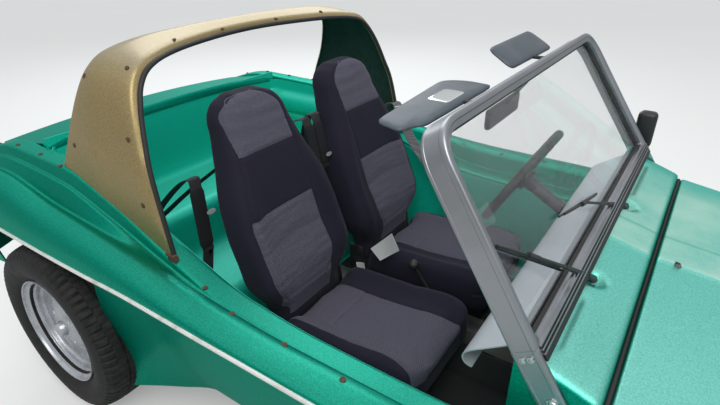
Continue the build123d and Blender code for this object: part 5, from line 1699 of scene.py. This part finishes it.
def stuff(piece, voxel, lowest=None):
    """Fills a form like a cushion: cloth under pressure with its travel capped, and one subdivision."""
    shape = piece.modifiers.new("voxels", "REMESH")
    shape.mode = "VOXEL"
    shape.voxel_size = voxel
    settle(piece)
    start = np.empty(len(piece.data.vertices) * 3)
    piece.data.vertices.foreach_get("co", start)
    cloth = piece.modifiers.new("cloth", "CLOTH")
    hold = cloth.settings
    hold.use_pressure = True
    hold.uniform_pressure_force = 4
    hold.effector_weights.gravity = 0
    hold.tension_stiffness = hold.compression_stiffness = 12
    hold.quality = 4
    cloth.point_cache.frame_start = 1
    cloth.point_cache.frame_end = stuffing_frames
    for step in range(1, stuffing_frames + 1):
        bpy.context.scene.frame_set(step)
    settle(piece)
    end = np.empty_like(start)
    piece.data.vertices.foreach_get("co", end)
    shift = (end - start).reshape(-1, 3)
    size = np.linalg.norm(shift, axis=1, keepdims=True)
    shift *= np.minimum(1.0, stuffing_travel / np.maximum(size, 1e-9))
    place = start.reshape(-1, 3) + shift
    if lowest is not None:
        place[:, 2] = np.maximum(place[:, 2], lowest)
    piece.data.vertices.foreach_set("co", place.ravel())
    bpy.context.scene.frame_set(1)
    finer = piece.modifiers.new("finer", "SUBSURF")
    finer.levels = finer.render_levels = 1
    settle(piece)
    for face in piece.data.polygons:
        face.use_smooth = True
    return piece


def press(piece, depth_at):
    """Moves each vertex along its normal by a function of its place: seams and creases in stuffed cloth."""
    mesh = piece.data
    moves = [(v.co.copy(), v.normal.copy()) for v in mesh.vertices]
    for vert, (place, normal) in zip(mesh.vertices, moves):
        vert.co = place + normal * depth_at(place, normal)
    mesh.update()


def groove(distance, width, depth):
    return -depth * math.exp(-(distance / width) ** 2)


def toward_waist(z):
    """0 on the head of a backrest, 1 from its shoulders down."""
    return unit((shoulder_top - z) / (shoulder_top - shoulder_foot))


def back_edge(z):
    """Half width of the front panel of a backrest, between its side seams."""
    wide = head_panel_half + 0.030 * toward_waist(z)
    if z > arch_foot:
        wide *= math.sqrt(max(0.0, 1 - ((z - arch_foot) / (arch_top - arch_foot)) ** 2))
    if z < taper_top:
        wide -= 5.0 * (taper_top - z) ** 2
    return wide


def wrinkle(point, depth, gain, second=None):
    """Creases of a cover: a noise that is steepened and cut off at its depth."""
    crease = noise.noise(Vector(point)) + (0.6 * noise.noise(Vector(second)) if second else 0.0)
    return depth * max(-1.0, min(1.0, crease * gain))


def back_relief(place, normal):
    y, z = place.yz
    v = abs(y + head_inset_y + (inset_y - head_inset_y) * toward_waist(z))
    move = 0.0
    if normal.x > 0.1 and z > panel_foot:
        edge = back_edge(z)
        move += groove(v - edge, 0.005, 0.0030)
        if v < edge:
            move += groove(z - head_seam, 0.005, 0.0030) + groove(z - waist_seam, 0.005, 0.0025)
            if z < waist_seam:
                move += wrinkle((y * 4 + 3, z * 30, 1.7), 0.0022, 1.6, (y * 9, z * 64, 5.1))
            elif z > head_seam:
                move += wrinkle((y * 6, z * 44, 8.3), 0.0016, 1.8)
    return move + 0.0022 * noise.noise(place * 9.0)


def cushion_edge(x):
    """Half width of the grey part of a cushion's top."""
    return lap_panel_half + 0.9 * max(0.0, x - 0.12) ** 2 + 0.8 * max(0.0, -0.05 - x) ** 2


def cushion_relief(place, normal):
    x, y, z = place
    v = abs(y + inset_y)
    move = 0.0
    if normal.z > 0.1 or normal.x > 0.5:
        move += groove(v - cushion_edge(x), 0.005, 0.0032)
        if v < cushion_edge(x):
            move += groove(x - lap_seam, 0.005, 0.0030)
            move += wrinkle((x * 26 if x > lap_seam else y * 30, y * 6 + 2, 3.3), 0.0014, 1.7)
    if normal.x > 0.3 and x > 0.20:
        move += groove(z - 0.470, 0.004, 0.0030)
    return move + 0.0022 * noise.noise(place * 8.0)


def stretch_knit():
    """Charcoal knit that turns to the paler ribbed inset inside the seams, by its place on the seat."""
    made, tree, shader, place = new_material("stretch_knit", cabin_black, 0.88, 0.0, {
        "Specular IOR Level": 0.15, "Sheen Weight": 0.05, "Sheen Roughness": 0.45})
    x, y, z = node(tree, "ShaderNodeSeparateXYZ", {"Vector": place}).outputs

    def work(kind, a, b=0.0):
        return calculate(tree, kind, a, b)

    def every(first, *others):
        """1 where all of the tests are 1."""
        for other in others:
            first = work("MULTIPLY", first, other)
        return first

    def over(value, limit):
        return work("GREATER_THAN", value, limit)

    def under(value, limit):
        return work("LESS_THAN", value, limit)

    def ramp(value, low, high, at_low, at_high):
        return steep(tree, value, low, high, at_low, at_high)

    middle = ramp(z, shoulder_top, shoulder_foot, head_inset_y, inset_y)
    across = work("ABSOLUTE", work("SUBTRACT", work("ABSOLUTE", y), middle))
    arch = work("POWER", ramp(z, arch_foot, arch_top, 0.0, 1.0), 2.0)
    flare = every(ramp(z, shoulder_top, shoulder_foot, head_panel_half, waist_panel_half),
                  work("SQRT", work("SUBTRACT", 1.0, arch)))
    taper = work("POWER", ramp(z, taper_top, taper_top - 0.20, 0.0, 0.20), 2.0)
    flare = work("SUBTRACT", flare, every(taper, 5.0))
    normal = node(tree, "ShaderNodeTexCoord").outputs["Normal"]
    ahead = node(tree, "ShaderNodeSeparateXYZ", {"Vector": normal}).outputs["X"]
    panels = work("MAXIMUM", over(z, head_seam), every(under(z, waist_seam), over(z, panel_foot)))
    back = every(under(across, flare), over(ahead, 0.1), panels)
    splay = work("POWER", ramp(x, 0.12, 0.32, 0.0, 0.20), 2.0)
    lap = every(under(z, 0.60), under(across, work("ADD", lap_panel_half, every(splay, 0.9))), over(z, 0.472),
                over(x, -0.24))
    inset = work("MAXIMUM", back, lap)
    ribs = node(tree, "ShaderNodeTexWave", {
        "Vector": place, "Scale": 115.0, "Distortion": 3.5, "Detail": 2.0, "Detail Scale": 2.0},
        wave_type="BANDS", bands_direction="DIAGONAL").outputs["Fac"]
    knit = grain(tree, place, 850, 3, 0.7)
    pale = blend_colours(tree, ribs, (0.060, 0.056, 0.080), inset_grey)
    dark = blend_colours(tree, knit, (0.013, 0.012, 0.022), (0.024, 0.022, 0.040))
    set_colour(tree, shader, blend_colours(tree, inset, dark, pale))
    set_bump(tree, shader, work("ADD", every(ribs, every(inset, 0.8)), every(knit, 0.4)), 0.0012)
    return made


seat_knit = stretch_knit()


def both_halves(outline, at):
    """A ring round a seat from half an outline whose second number is the distance from its middle."""
    right = [(u, v) for u, v in outline]
    return [at(u, v - seat_y) for u, v in right] + [at(u, -v - seat_y) for u, v in right[-2:0:-1]]


def backrest_form():
    rings = []
    for z, share in dome(40, back_rows[0][0], back_rows[-1][0], 0.080):
        if z < 0.60:
            share = 1.0
        rear, front, half, hollow = smooth_rows(back_rows, z)
        middle, deep = (rear + front) / 2, (front - rear) / 2 * (0.5 + 0.5 * share)
        wide = half * share
        outline = round_line([
            (middle + deep - hollow, 0.0, 0.05), (middle + deep - hollow, 0.55 * wide, 0.05),
            (middle + deep, 0.80 * wide, 0.04), (middle + deep - 0.012, wide, 0.04),
            (middle - deep, wide, 0.045), (middle - deep, 0.0, 0.05),
        ])
        rings.append(both_halves(outline, lambda u, v: Vector((u, v, z))))
    return closed_form("seat_backrest", rings, seat_knit)


def cushion_form():
    rings = []
    for x, share in dome(30, cushion_rows[0][0], cushion_rows[-1][0], 0.050):
        top, half = smooth_rows(cushion_rows, x)
        tall = (top - cushion_base) * (0.55 + 0.45 * share)
        base = cushion_base + (0.020 * (1 - share) if x > 0 else 0)
        corner = unit((x - 0.206) / 0.080)
        wide = half * (0.86 + 0.14 * share) * (1 - 0.24 * (1 - math.sqrt(1 - corner ** 2)))
        crest = base + tall + 0.020
        outline = round_line([
            (0.0, base, 0.0), (wide - 0.012, base, 0.02), (wide, base + 0.5 * tall, 0.05),
            (0.93 * wide, crest, 0.035),
            (0.72 * wide, crest, 0.04), (0.54 * wide, base + tall - 0.004, 0.05), (0.0, base + tall, 0.0),
        ])
        rings.append(both_halves([(height, v) for v, height in outline], lambda u, v: Vector((x, v, u))))
    return closed_form("seat_cushion", rings, seat_knit)


def mirrored(piece, name):
    """The same piece for the other side of the car."""
    mesh = piece.data.copy()
    mesh.transform(Matrix.Scale(-1, 4, (0, 1, 0)))
    mesh.flip_normals()
    twin = new_object(name, mesh)
    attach(twin, "chassis")
    return twin


seat_back = stuff(backrest_form(), 0.0090)
press(seat_back, back_relief)
seat_pad = stuff(cushion_form(), 0.0085, lowest=0.3885)
press(seat_pad, cushion_relief)
for piece, node_name in ((seat_back, "seat_backrests"), (seat_pad, "seat_cushions")):
    twin = mirrored(piece, piece.name + "_left")
    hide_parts(node_name)
dress("seat_frames", chassis_black, 0.001)

# Seat belts
# Black webbing on each side of both backrests with a plain padded sleeve at the shoulder; steel sliders
# and tongues, and bolted ends on the side walls, on the rear step and on the shelf's edge.
belt_black = (0.020, 0.020, 0.023)
sleeve_half = 0.024
webbing_half = 0.022
webbing_thick = 0.003
# Rows, from the bottom up: z, x, y from the middle of the car; the last rows run back to the shelf
outer_belt = (
    (0.400, -0.462, 0.566), (0.560, -0.468, 0.540), (0.698, -0.476, 0.506), (0.715, -0.478, 0.504),
    (0.915, -0.495, 0.500), (0.945, -0.512, 0.498), (0.900, -0.590, 0.488), (0.770, -0.740, 0.470),
    (0.650, -0.852, 0.460),
)
inner_belt = (
    (0.404, -0.560, 0.046), (0.560, -0.500, 0.040), (0.780, -0.420, 0.030), (0.840, -0.398, 0.026),
    (0.994, -0.432, 0.026), (1.016, -0.462, 0.040), (0.960, -0.560, 0.130), (0.800, -0.730, 0.300),
    (0.650, -0.852, 0.440),
)


def woven_webbing(name, colour, scale, sheen):
    made, tree, shader, place = new_material(name, colour, 0.7, 0.0, {
        "Sheen Weight": sheen, "Specular IOR Level": 0.2})
    weave = node(tree, "ShaderNodeTexChecker", {"Vector": place, "Scale": scale}).outputs["Fac"]
    pale = tuple(min(1.0, 2.1 * c) for c in colour)
    set_colour(tree, shader, blend_colours(tree, weave, colour, pale))
    set_bump(tree, shader, weave, 0.0005)
    return made


webbing_black = woven_webbing("woven_webbing", belt_black, 520, 0.04)
webbing_grey = woven_webbing("worn_webbing", (0.105, 0.105, 0.112), 520, 0.3)
sleeve_black = woven_webbing("sleeve_cloth", (0.010, 0.010, 0.013), 900, 0.04)


def curve_through(points, steps=6):
    """A smooth line through points."""
    path = [Vector(p) for p in points]
    path = [2 * path[0] - path[1]] + path + [2 * path[-1] - path[-2]]
    line = []
    for a, b, c, d in zip(path[:-3], path[1:-2], path[2:-1], path[3:]):
        line += [along_curve(a, b, c, d, k / steps) for k in range(steps)]
    return line + [path[-2]]


def ribbon(name, points, wide, half, thick, finish, steps=6):
    """A flat band through points; wide is the direction of its width, or one for each end."""
    line = curve_through(points, steps)
    first, last = wide if isinstance(wide, tuple) else (wide, wide)
    rings = []
    for i, here in enumerate(line):
        ahead = (line[min(i + 1, len(line) - 1)] - line[max(i - 1, 0)]).normalized()
        side = first.lerp(last, i / (len(line) - 1))
        side = (side - ahead * side.dot(ahead)).normalized()
        up = ahead.cross(side)
        edge = min(0.4 * thick, 0.0015)
        corners = ((-half, 0), (-half + edge, -thick / 2), (half - edge, -thick / 2), (half, 0),
                   (half - edge, thick / 2), (-half + edge, thick / 2))
        rings.append([here + side * u + up * v for u, v in corners])
    return closed_form(name, rings, finish)


def steel_loop(place, across, up, half, tall):
    """A closed rectangle of steel bar, such as a slider."""
    ring = round_line([(0, -tall, 0), (half, -tall, 0.004), (half, tall, 0.004), (-half, tall, 0.004),
                       (-half, -tall, 0.004), (0, -tall, 0)], 3)[:-1]
    place, across, up = Vector(place), Vector(across).normalized(), Vector(up).normalized()
    return tube("slider", [place + across * p.x + up * p.y for p in ring], 0.0028, chrome, 8, closed=True)


def shoulder_sleeve(rows, side):
    """The padded sleeve round the upper part of a belt."""
    low, top = [Vector((x, side * y, z)) for z, x, y in rows[3:5]]
    across = Vector((0, 1, 0))
    axis = (top - low).normalized()
    front = across.cross(axis).normalized()
    rings = []
    for along, share in dome(16, 0.0, (top - low).length, 0.012):
        half, deep = sleeve_half * (0.75 + 0.25 * share), 0.0075 * share
        outline = round_line([(-half, 0, 0), (-half, deep, 0.006), (half, deep, 0.006), (half, -deep, 0.006),
                              (-half, -deep, 0.006), (-half, 0, 0)], 3)[:-1]
        rings.append([low + axis * along + across * p.x + front * p.y for p in outline])
    return closed_form("belt_sleeve", rings, sleeve_black)


def seat_belts():
    across = Vector((0, 1, 0))
    wall = tub_half - body_wall
    anchor = [(-0.488, 0.385), (-0.436, 0.385), (-0.436, 0.440), (-0.488, 0.440)]
    # The end of the lap belt, down over the rear step: x, z
    step = ((-0.885, 0.6310), (-0.856, 0.6290), (-0.8465, 0.6200), (-0.8380, 0.5640), (-0.8235, 0.4750))
    pieces = []
    for side in (1, -1):
        for rows in (outer_belt, inner_belt):
            path = [(x, side * y, z) for z, x, y in rows]
            pieces.append(ribbon("webbing", path, across, webbing_half, webbing_thick, webbing_black))
            pieces.append(shoulder_sleeve(rows, side))
        y = side * 0.5285
        pieces.append(soft_block("belt_tongue", (-0.4735, y - 0.020, 0.580), (-0.4635, y + 0.020, 0.622),
                                 chrome,
                                 0.003, 2))
        pieces.append(prism("belt_anchor", anchor, side * (wall - 0.010), side * wall, chassis_black))
        pieces += stud((-0.462, side * (wall - 0.010), 0.398), (0, -side, 0), 0.008, rust, 6)
        y = side * 0.459
        pieces.append(ribbon("lap_end", [(x, y, z) for x, z in step], across, webbing_half, webbing_thick,
                             webbing_black, 4))
        pieces += stud((-0.868, y, 0.6315), (0, 0, 1), 0.010, chrome, 6)
    whole = join_pieces(*pieces)
    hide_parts("seat_belts")
    smooth_by_angle(whole, 40)
    pull = [(-0.440, 0.512, 0.925), (-0.385, 0.520, 0.948), (-0.350, 0.522, 0.890), (-0.300, 0.524, 0.795),
            (-0.200, 0.524, 0.686), (-0.110, 0.522, 0.600), (-0.060, 0.520, 0.500), (-0.040, 0.520, 0.300),
            (-0.040, 0.520, 0.216)]
    strap = ribbon("belt_pulled_forward", pull, (Vector((0.55, 0.83, 0)), Vector((0.9, 0.35, 0))), 0.020,
                   webbing_thick,
                   webbing_grey)
    loop = steel_loop((-0.365, 0.521, 0.925), (0.35, 0.94, 0), (-0.30, 0, 0.95), 0.024, 0.012)
    front = join_pieces(strap, loop)
    smooth_by_angle(front, 40)


seat_belts()

# Seat labels
# Blank woven labels sewn into the covers' side seams: two white ones by the tunnel, small grey ovals at
# the shoulders and a red tab.


def plain_label(name, colour):
    made, tree, shader, place = new_material(name, colour, 0.6)
    weave = grain(tree, place, 1400, 2)
    set_colour(tree, shader, blend_colours(tree, weave, tuple(0.82 * c for c in colour), colour))
    set_bump(tree, shader, weave, 0.0003)
    return made


def label(corners, finish):
    """A thin quadrilateral of cloth, bowed a little between its ends."""
    a, b, c, d = [Vector(p) for p in corners]
    out = (b - a).cross(d - a).normalized()
    rows = []
    for i in range(7):
        s = i / 6
        left, right = a.lerp(b, s), d.lerp(c, s)
        bow = out * (0.05 * (b - a).length * math.sin(math.pi * s))
        rows.append([left.lerp(right, k / 4) + bow for k in range(5)])
    return skin("label", rows, finish, 0.0012, offset=0.0)


def oval_label(place, out, along, half, tall, finish):
    place, out, along = Vector(place), Vector(out).normalized(), Vector(along).normalized()
    up = out.cross(along)

    def at(turn, height, share):
        return (place + out * height + along * half * share * math.cos(turn)
                + up * tall * share * math.sin(turn))

    levels = ((-0.001, 1.0), (0.0010, 1.0), (0.0014, 0.92))
    rings = [[at(turn, *level) for turn in circle(28)] for level in levels]
    return closed_form("oval_label", rings, finish)


white_label = plain_label("white_label", (0.78, 0.78, 0.80))
grey_label = plain_label("grey_label", (0.30, 0.30, 0.32))
red_label = plain_label("red_label", (0.36, 0.035, 0.045))
tags = [
    label([(-0.186, 0.020, 0.531), (-0.094, 0.020, 0.631), (-0.057, 0.016, 0.570), (-0.139, 0.016, 0.494)],
          white_label),
    label([(-0.256, 0.022, 0.440), (-0.216, 0.020, 0.452), (-0.210, 0.018, 0.428), (-0.250, 0.020, 0.420)],
          white_label),
    oval_label((-0.4445, -0.495, 0.850), (1, 0, 0.2), (0, 1, 0), 0.017, 0.008, grey_label),
    oval_label((-0.3860, 0.034, 0.875), (1, -0.3, 0.2), (0, 1, 0), 0.017, 0.008, grey_label),
    label([(-0.400, -0.044, 0.862), (-0.372, -0.040, 0.846), (-0.376, -0.034, 0.826),
           (-0.404, -0.038, 0.842)], red_label),
]
labels = join_pieces(*tags)

# Road wheels
# Plain silver steel wheels with a deep stepped barrel and a drum behind the disc, and black road tyres
# with blocks along both shoulders; four wheel nuts hold each on its hub under a dull cap.
# Rows: axle, its middle, y of the wheels, tyre radius, tyre width, rim width, depth of the disc, drum end
axle_rows = (
    ("rear", rear_axle, 0.730, 0.335, 0.230, 0.200, 0.066, -0.120),
    ("front", front_axle, 0.665, 0.315, 0.170, 0.150, 0.048, -0.063),
)
rim_lip = 0.209
rim_barrel = 0.186
rim_metal = 0.004
# How deep the road tread's grooves are, and the gaps between its blocks on the shoulders and on the crown
tread_groove, shoulder_gap, crown_gap = 0.007, 0.0065, 0.0030
wheel_silver = surface("silver_wheel_paint", (0.60, 0.62, 0.65), 0.32, 0.55, cloud=(22, 4), fade=(0.5, 0.85),
                       colours=((0.46, 0.48, 0.52), (0.27, 0.26, 0.245)), gloss=(0.26, 0.62), pits=(700, 2),
                       relief=0.0002)
tyre_rubber = surface("road_rubber", (0.014, 0.014, 0.015), 0.72, cloud=(26, 4), fade=(0.46, 0.8),
                      colours=((0.012, 0.012, 0.013), (0.040, 0.037, 0.033)), gloss=(0.58, 0.88),
                      pits=(420, 3),
                      relief=0.0005, more={"Specular IOR Level": 0.25})


def turned_mesh(name, profile, centre, side, sides=96, relief=None):
    """A closed ring turned about the cross axis from (y, radius) points; relief moves a point by its turn."""
    rows = []
    for k in range(sides):
        turn = 2 * math.pi * k / sides
        row = []
        for y, radius in profile:
            reach = radius - (relief(y, radius, k) if relief else 0.0)
            row.append(centre + Vector((reach * math.cos(turn), side * y, reach * math.sin(turn))))
        rows.append(row + row[:1])
    mesh = sheet_mesh(name, rows, closed=True)
    turn_out(mesh, 0.00001)
    return mesh


def tyre_profile(radius, width, rim_width):
    half = width / 2
    side = [
        (rim_width / 2 - 0.020, rim_barrel + 0.002, 0), (rim_width / 2 - 0.010, rim_lip - 0.004, 0.006),
        (rim_width / 2 - 0.004, rim_lip + 0.010, 0.006), (half - 0.010, rim_lip + 0.020, 0.010),
        (half - 0.001, radius - 0.080, 0.030), (half, radius - 0.055, 0.020),
        (half - 0.008, radius - 0.026, 0.014),
    ]
    return [(p.x, p.y) for p in round_line(side, 3)]


def tyre(name, body, centre, side, radius, width, rim_width):
    half = width / 2
    right = tyre_profile(radius, width, rim_width)
    crown = []
    for share in spread(-0.82, 0.82, 0.03):
        deep = tread_groove if any(abs(share - g) < 0.035 for g in (-0.30, 0.0, 0.30)) else 0.0
        drop = 0.012 * abs(share / 0.82) ** 3
        crown.append((share * half, radius - drop - deep))
    profile = right + crown[::-1] + [(-y, r) for y, r in right[::-1]]

    def relief(y, r, k):
        """Depth of the gaps between the blocks, at the kth turn."""
        if r < radius - 0.030:
            return 0.0
        if abs(y) > 0.60 * half:
            return shoulder_gap if k % 4 == 0 else 0.0
        return crown_gap if (k + (2 if y > 0 else 0)) % 4 == 0 else 0.0

    mesh = turned_mesh(name, profile, centre, side, 288, relief)
    piece = place_piece(name, mesh, tyre_rubber, body=body)
    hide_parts(name)
    smooth_by_angle(piece, 24)


def rim(name, body, centre, side, rim_width, dish, drum_end):
    half = rim_width / 2
    face = half - dish
    t = rim_metal
    # Once round the section from the inner lip: barrel, disc to its hub and back, stepped well, outer lip
    section = round_line([
        (-half, rim_lip, 0), (-half, rim_lip - t, 0.001), (-half + 0.012, rim_barrel - t, 0.006),
        (face - 0.010, rim_barrel - t, 0.006), (face + 0.002, 0.152, 0.010), (face + 0.006, 0.120, 0.006),
        (face + 0.030, 0.050, 0.010), (face + 0.034, 0.030, 0.004), (face + 0.038, 0.030, 0.001),
        (face + 0.036, 0.056, 0.010), (face + 0.016, 0.118, 0.012), (face + 0.012, 0.146, 0.010),
        (face + 0.006, rim_barrel - 0.016, 0.006), (face + 0.014, rim_barrel - t - 0.002, 0.005),
        (half - 0.036, rim_barrel - t - 0.001, 0.003), (half - 0.032, rim_barrel + 0.002, 0.004),
        (half - 0.018, rim_barrel + 0.004, 0.004), (half - 0.012, rim_lip - t - 0.004, 0.006),
        (half, rim_lip - t, 0.002), (half + 0.001, rim_lip, 0.002), (half - 0.010, rim_lip, 0.004),
        (half - 0.016, rim_barrel + 0.008, 0.004), (half - 0.034, rim_barrel + 0.006, 0.004),
        (half - 0.042, rim_barrel, 0.004), (-half + 0.018, rim_barrel, 0.006),
        (-half + 0.012, rim_lip, 0.004),
        (-half, rim_lip, 0),
    ], 3)[:-1]
    drum = round_line([
        (drum_end, 0.0225, 0), (drum_end, 0.114, 0.002), (drum_end + 0.010, 0.120, 0.004),
        (face + 0.004, 0.118, 0.004), (face + 0.006, 0.0225, 0),
    ], 3)
    pieces = [place_piece(name, turned_mesh(name, section, centre, side), wheel_silver, body=body),
              place_piece("drum", turned_mesh("drum", drum, centre, side), chassis_black)]
    hub = centre + Vector((0, side * (face + 0.020), 0))
    out = Vector((0, side, 0))
    pieces.append(tube("hub_cap", [hub, hub + out * 0.030, hub + out * 0.036, hub + out * 0.039],
                       [0.029, 0.028, 0.024, 0.012], wheel_silver, 32))
    for k in range(4):
        turn = math.pi / 4 + k * math.pi / 2
        spot = hub + Vector((0.065 * math.cos(turn), -side * 0.004, 0.065 * math.sin(turn)))
        nut = [spot, spot + out * 0.016, spot + out * 0.018]
        pieces.append(tube("wheel_nut", nut, [0.011, 0.011, 0.008], chrome, 6))
    whole = join_pieces(*pieces)
    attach(whole, body)
    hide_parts(name)
    smooth_by_angle(whole, panel_crease)


for axle, middle, y, radius, width, rim_width, dish, drum_end in axle_rows:
    for side, hand in ((1, "left"), (-1, "right")):
        corner, spot = f"{axle}_{hand}", middle + Vector((0, side * y, 0))
        rim("rim_" + corner, "wheel_" + corner, spot, side, rim_width, dish, drum_end)
        tyre("tyre_" + corner, "wheel_" + corner, spot, side, radius, width, rim_width)

# Headlamps
# Round chromed bowls on short posts on the front wings, each with a rolled rim and a fluted glass.
lamp_middle = Vector((1.455, 0.590, 0.742))


def fluted_glass():
    made, tree, shader, place = new_material("fluted_lamp_glass", (0.90, 0.93, 0.94), 0.06, 0.0, {
        "Transmission Weight": 0.85, "IOR": 1.45})
    flutes = node(tree, "ShaderNodeTexWave", {"Vector": place, "Scale": 28.0},
                  bands_direction="Y").outputs["Fac"]
    set_bump(tree, shader, flutes, 0.0015)
    return made


lamp_glass = fluted_glass()


def turned_along(name, profile, centre, finish):
    """A form turned about the fore-and-aft axis through centre from (x, radius) points."""
    steps = [centre + Vector((x, 0, 0)) for x, radius in profile]
    return tube(name, steps, [max(radius, 0.0005) for x, radius in profile], finish, 48)


def headlamps():
    # Length behind the rim and radius: of the bowl with its rolled rim, and of the glass
    bowl = [(-0.122, 0.004), (-0.119, 0.022), (-0.105, 0.044), (-0.085, 0.061), (-0.060, 0.074),
            (-0.030, 0.082),
            (-0.014, 0.084), (-0.012, 0.088), (-0.004, 0.088), (0.000, 0.082), (-0.004, 0.078)]
    lens = [(-0.003, 0.0775), (-0.002, 0.077), (0.004, 0.070), (0.010, 0.052), (0.014, 0.028), (0.015, 0.004)]
    chromes, glasses = [], []
    for side in (1, -1):
        centre = Vector((lamp_middle.x, side * lamp_middle.y, lamp_middle.z))
        foot = centre + Vector((-0.055, 0, 0))
        wing = Vector((foot.x, foot.y, 0.658))
        post = [wing, wing.lerp(foot, 0.25), wing.lerp(foot, 0.35), foot]
        chromes += [turned_along("headlamp", bowl, centre, chrome),
                    tube("lamp_post", post, [0.024, 0.023, 0.016, 0.016], chrome, 24)]
        glasses.append(turned_along("lamp_lens", lens, centre, lamp_glass))
    whole = join_pieces(*chromes)
    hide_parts("headlamps")
    join_pieces(*glasses)


headlamps()

# Tail lamps and indicators
# Round moulded lenses screwed to the tail panels: a red one above a smaller amber one on each side.


def lamp_plastic(name, colour):
    made, tree, shader, place = new_material(name, colour, 0.12, 0.0, {"Transmission Weight": 0.25})
    rings = node(tree, "ShaderNodeTexVoronoi", {"Vector": place, "Scale": 150.0}).outputs["Distance"]
    set_bump(tree, shader, rings, 0.0010)
    return made


def small_lamps():
    # Height, radius, depth and plastic of each lamp
    lamps = ((0.640, 0.044, 0.028, lamp_plastic("red_lamp_plastic", (0.42, 0.010, 0.012))),
             (0.555, 0.026, 0.022, lamp_plastic("amber_lamp_plastic", (0.75, 0.24, 0.010))))
    pieces = []
    for side in (1, -1):
        for z, reach, deep, plastic in lamps:
            centre = Vector((tail_x - body_wall, side * (body_half - 0.125), z))
            bezel = [(0.002, reach), (-0.010, reach), (-0.012, reach - 0.004)]
            lens = [(-0.008, reach - 0.004), (-deep + 0.004, reach - 0.005), (-deep + 0.001, reach - 0.010),
                    (-deep, 0.002)]
            pieces += [turned_along("bezel", bezel, centre, chrome),
                       turned_along("small_lens", lens, centre, plastic)]
    whole = join_pieces(*pieces)
    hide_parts("small_lamps")


small_lamps()

# Bumper and fuel tank
# A chromed tube bumper on two stays from the front beam, and a black steel tank strapped down under
# the bonnet.
dress("bumpers", chrome, 0.0)
dress("fuel_tank", black_tin, 0.0)
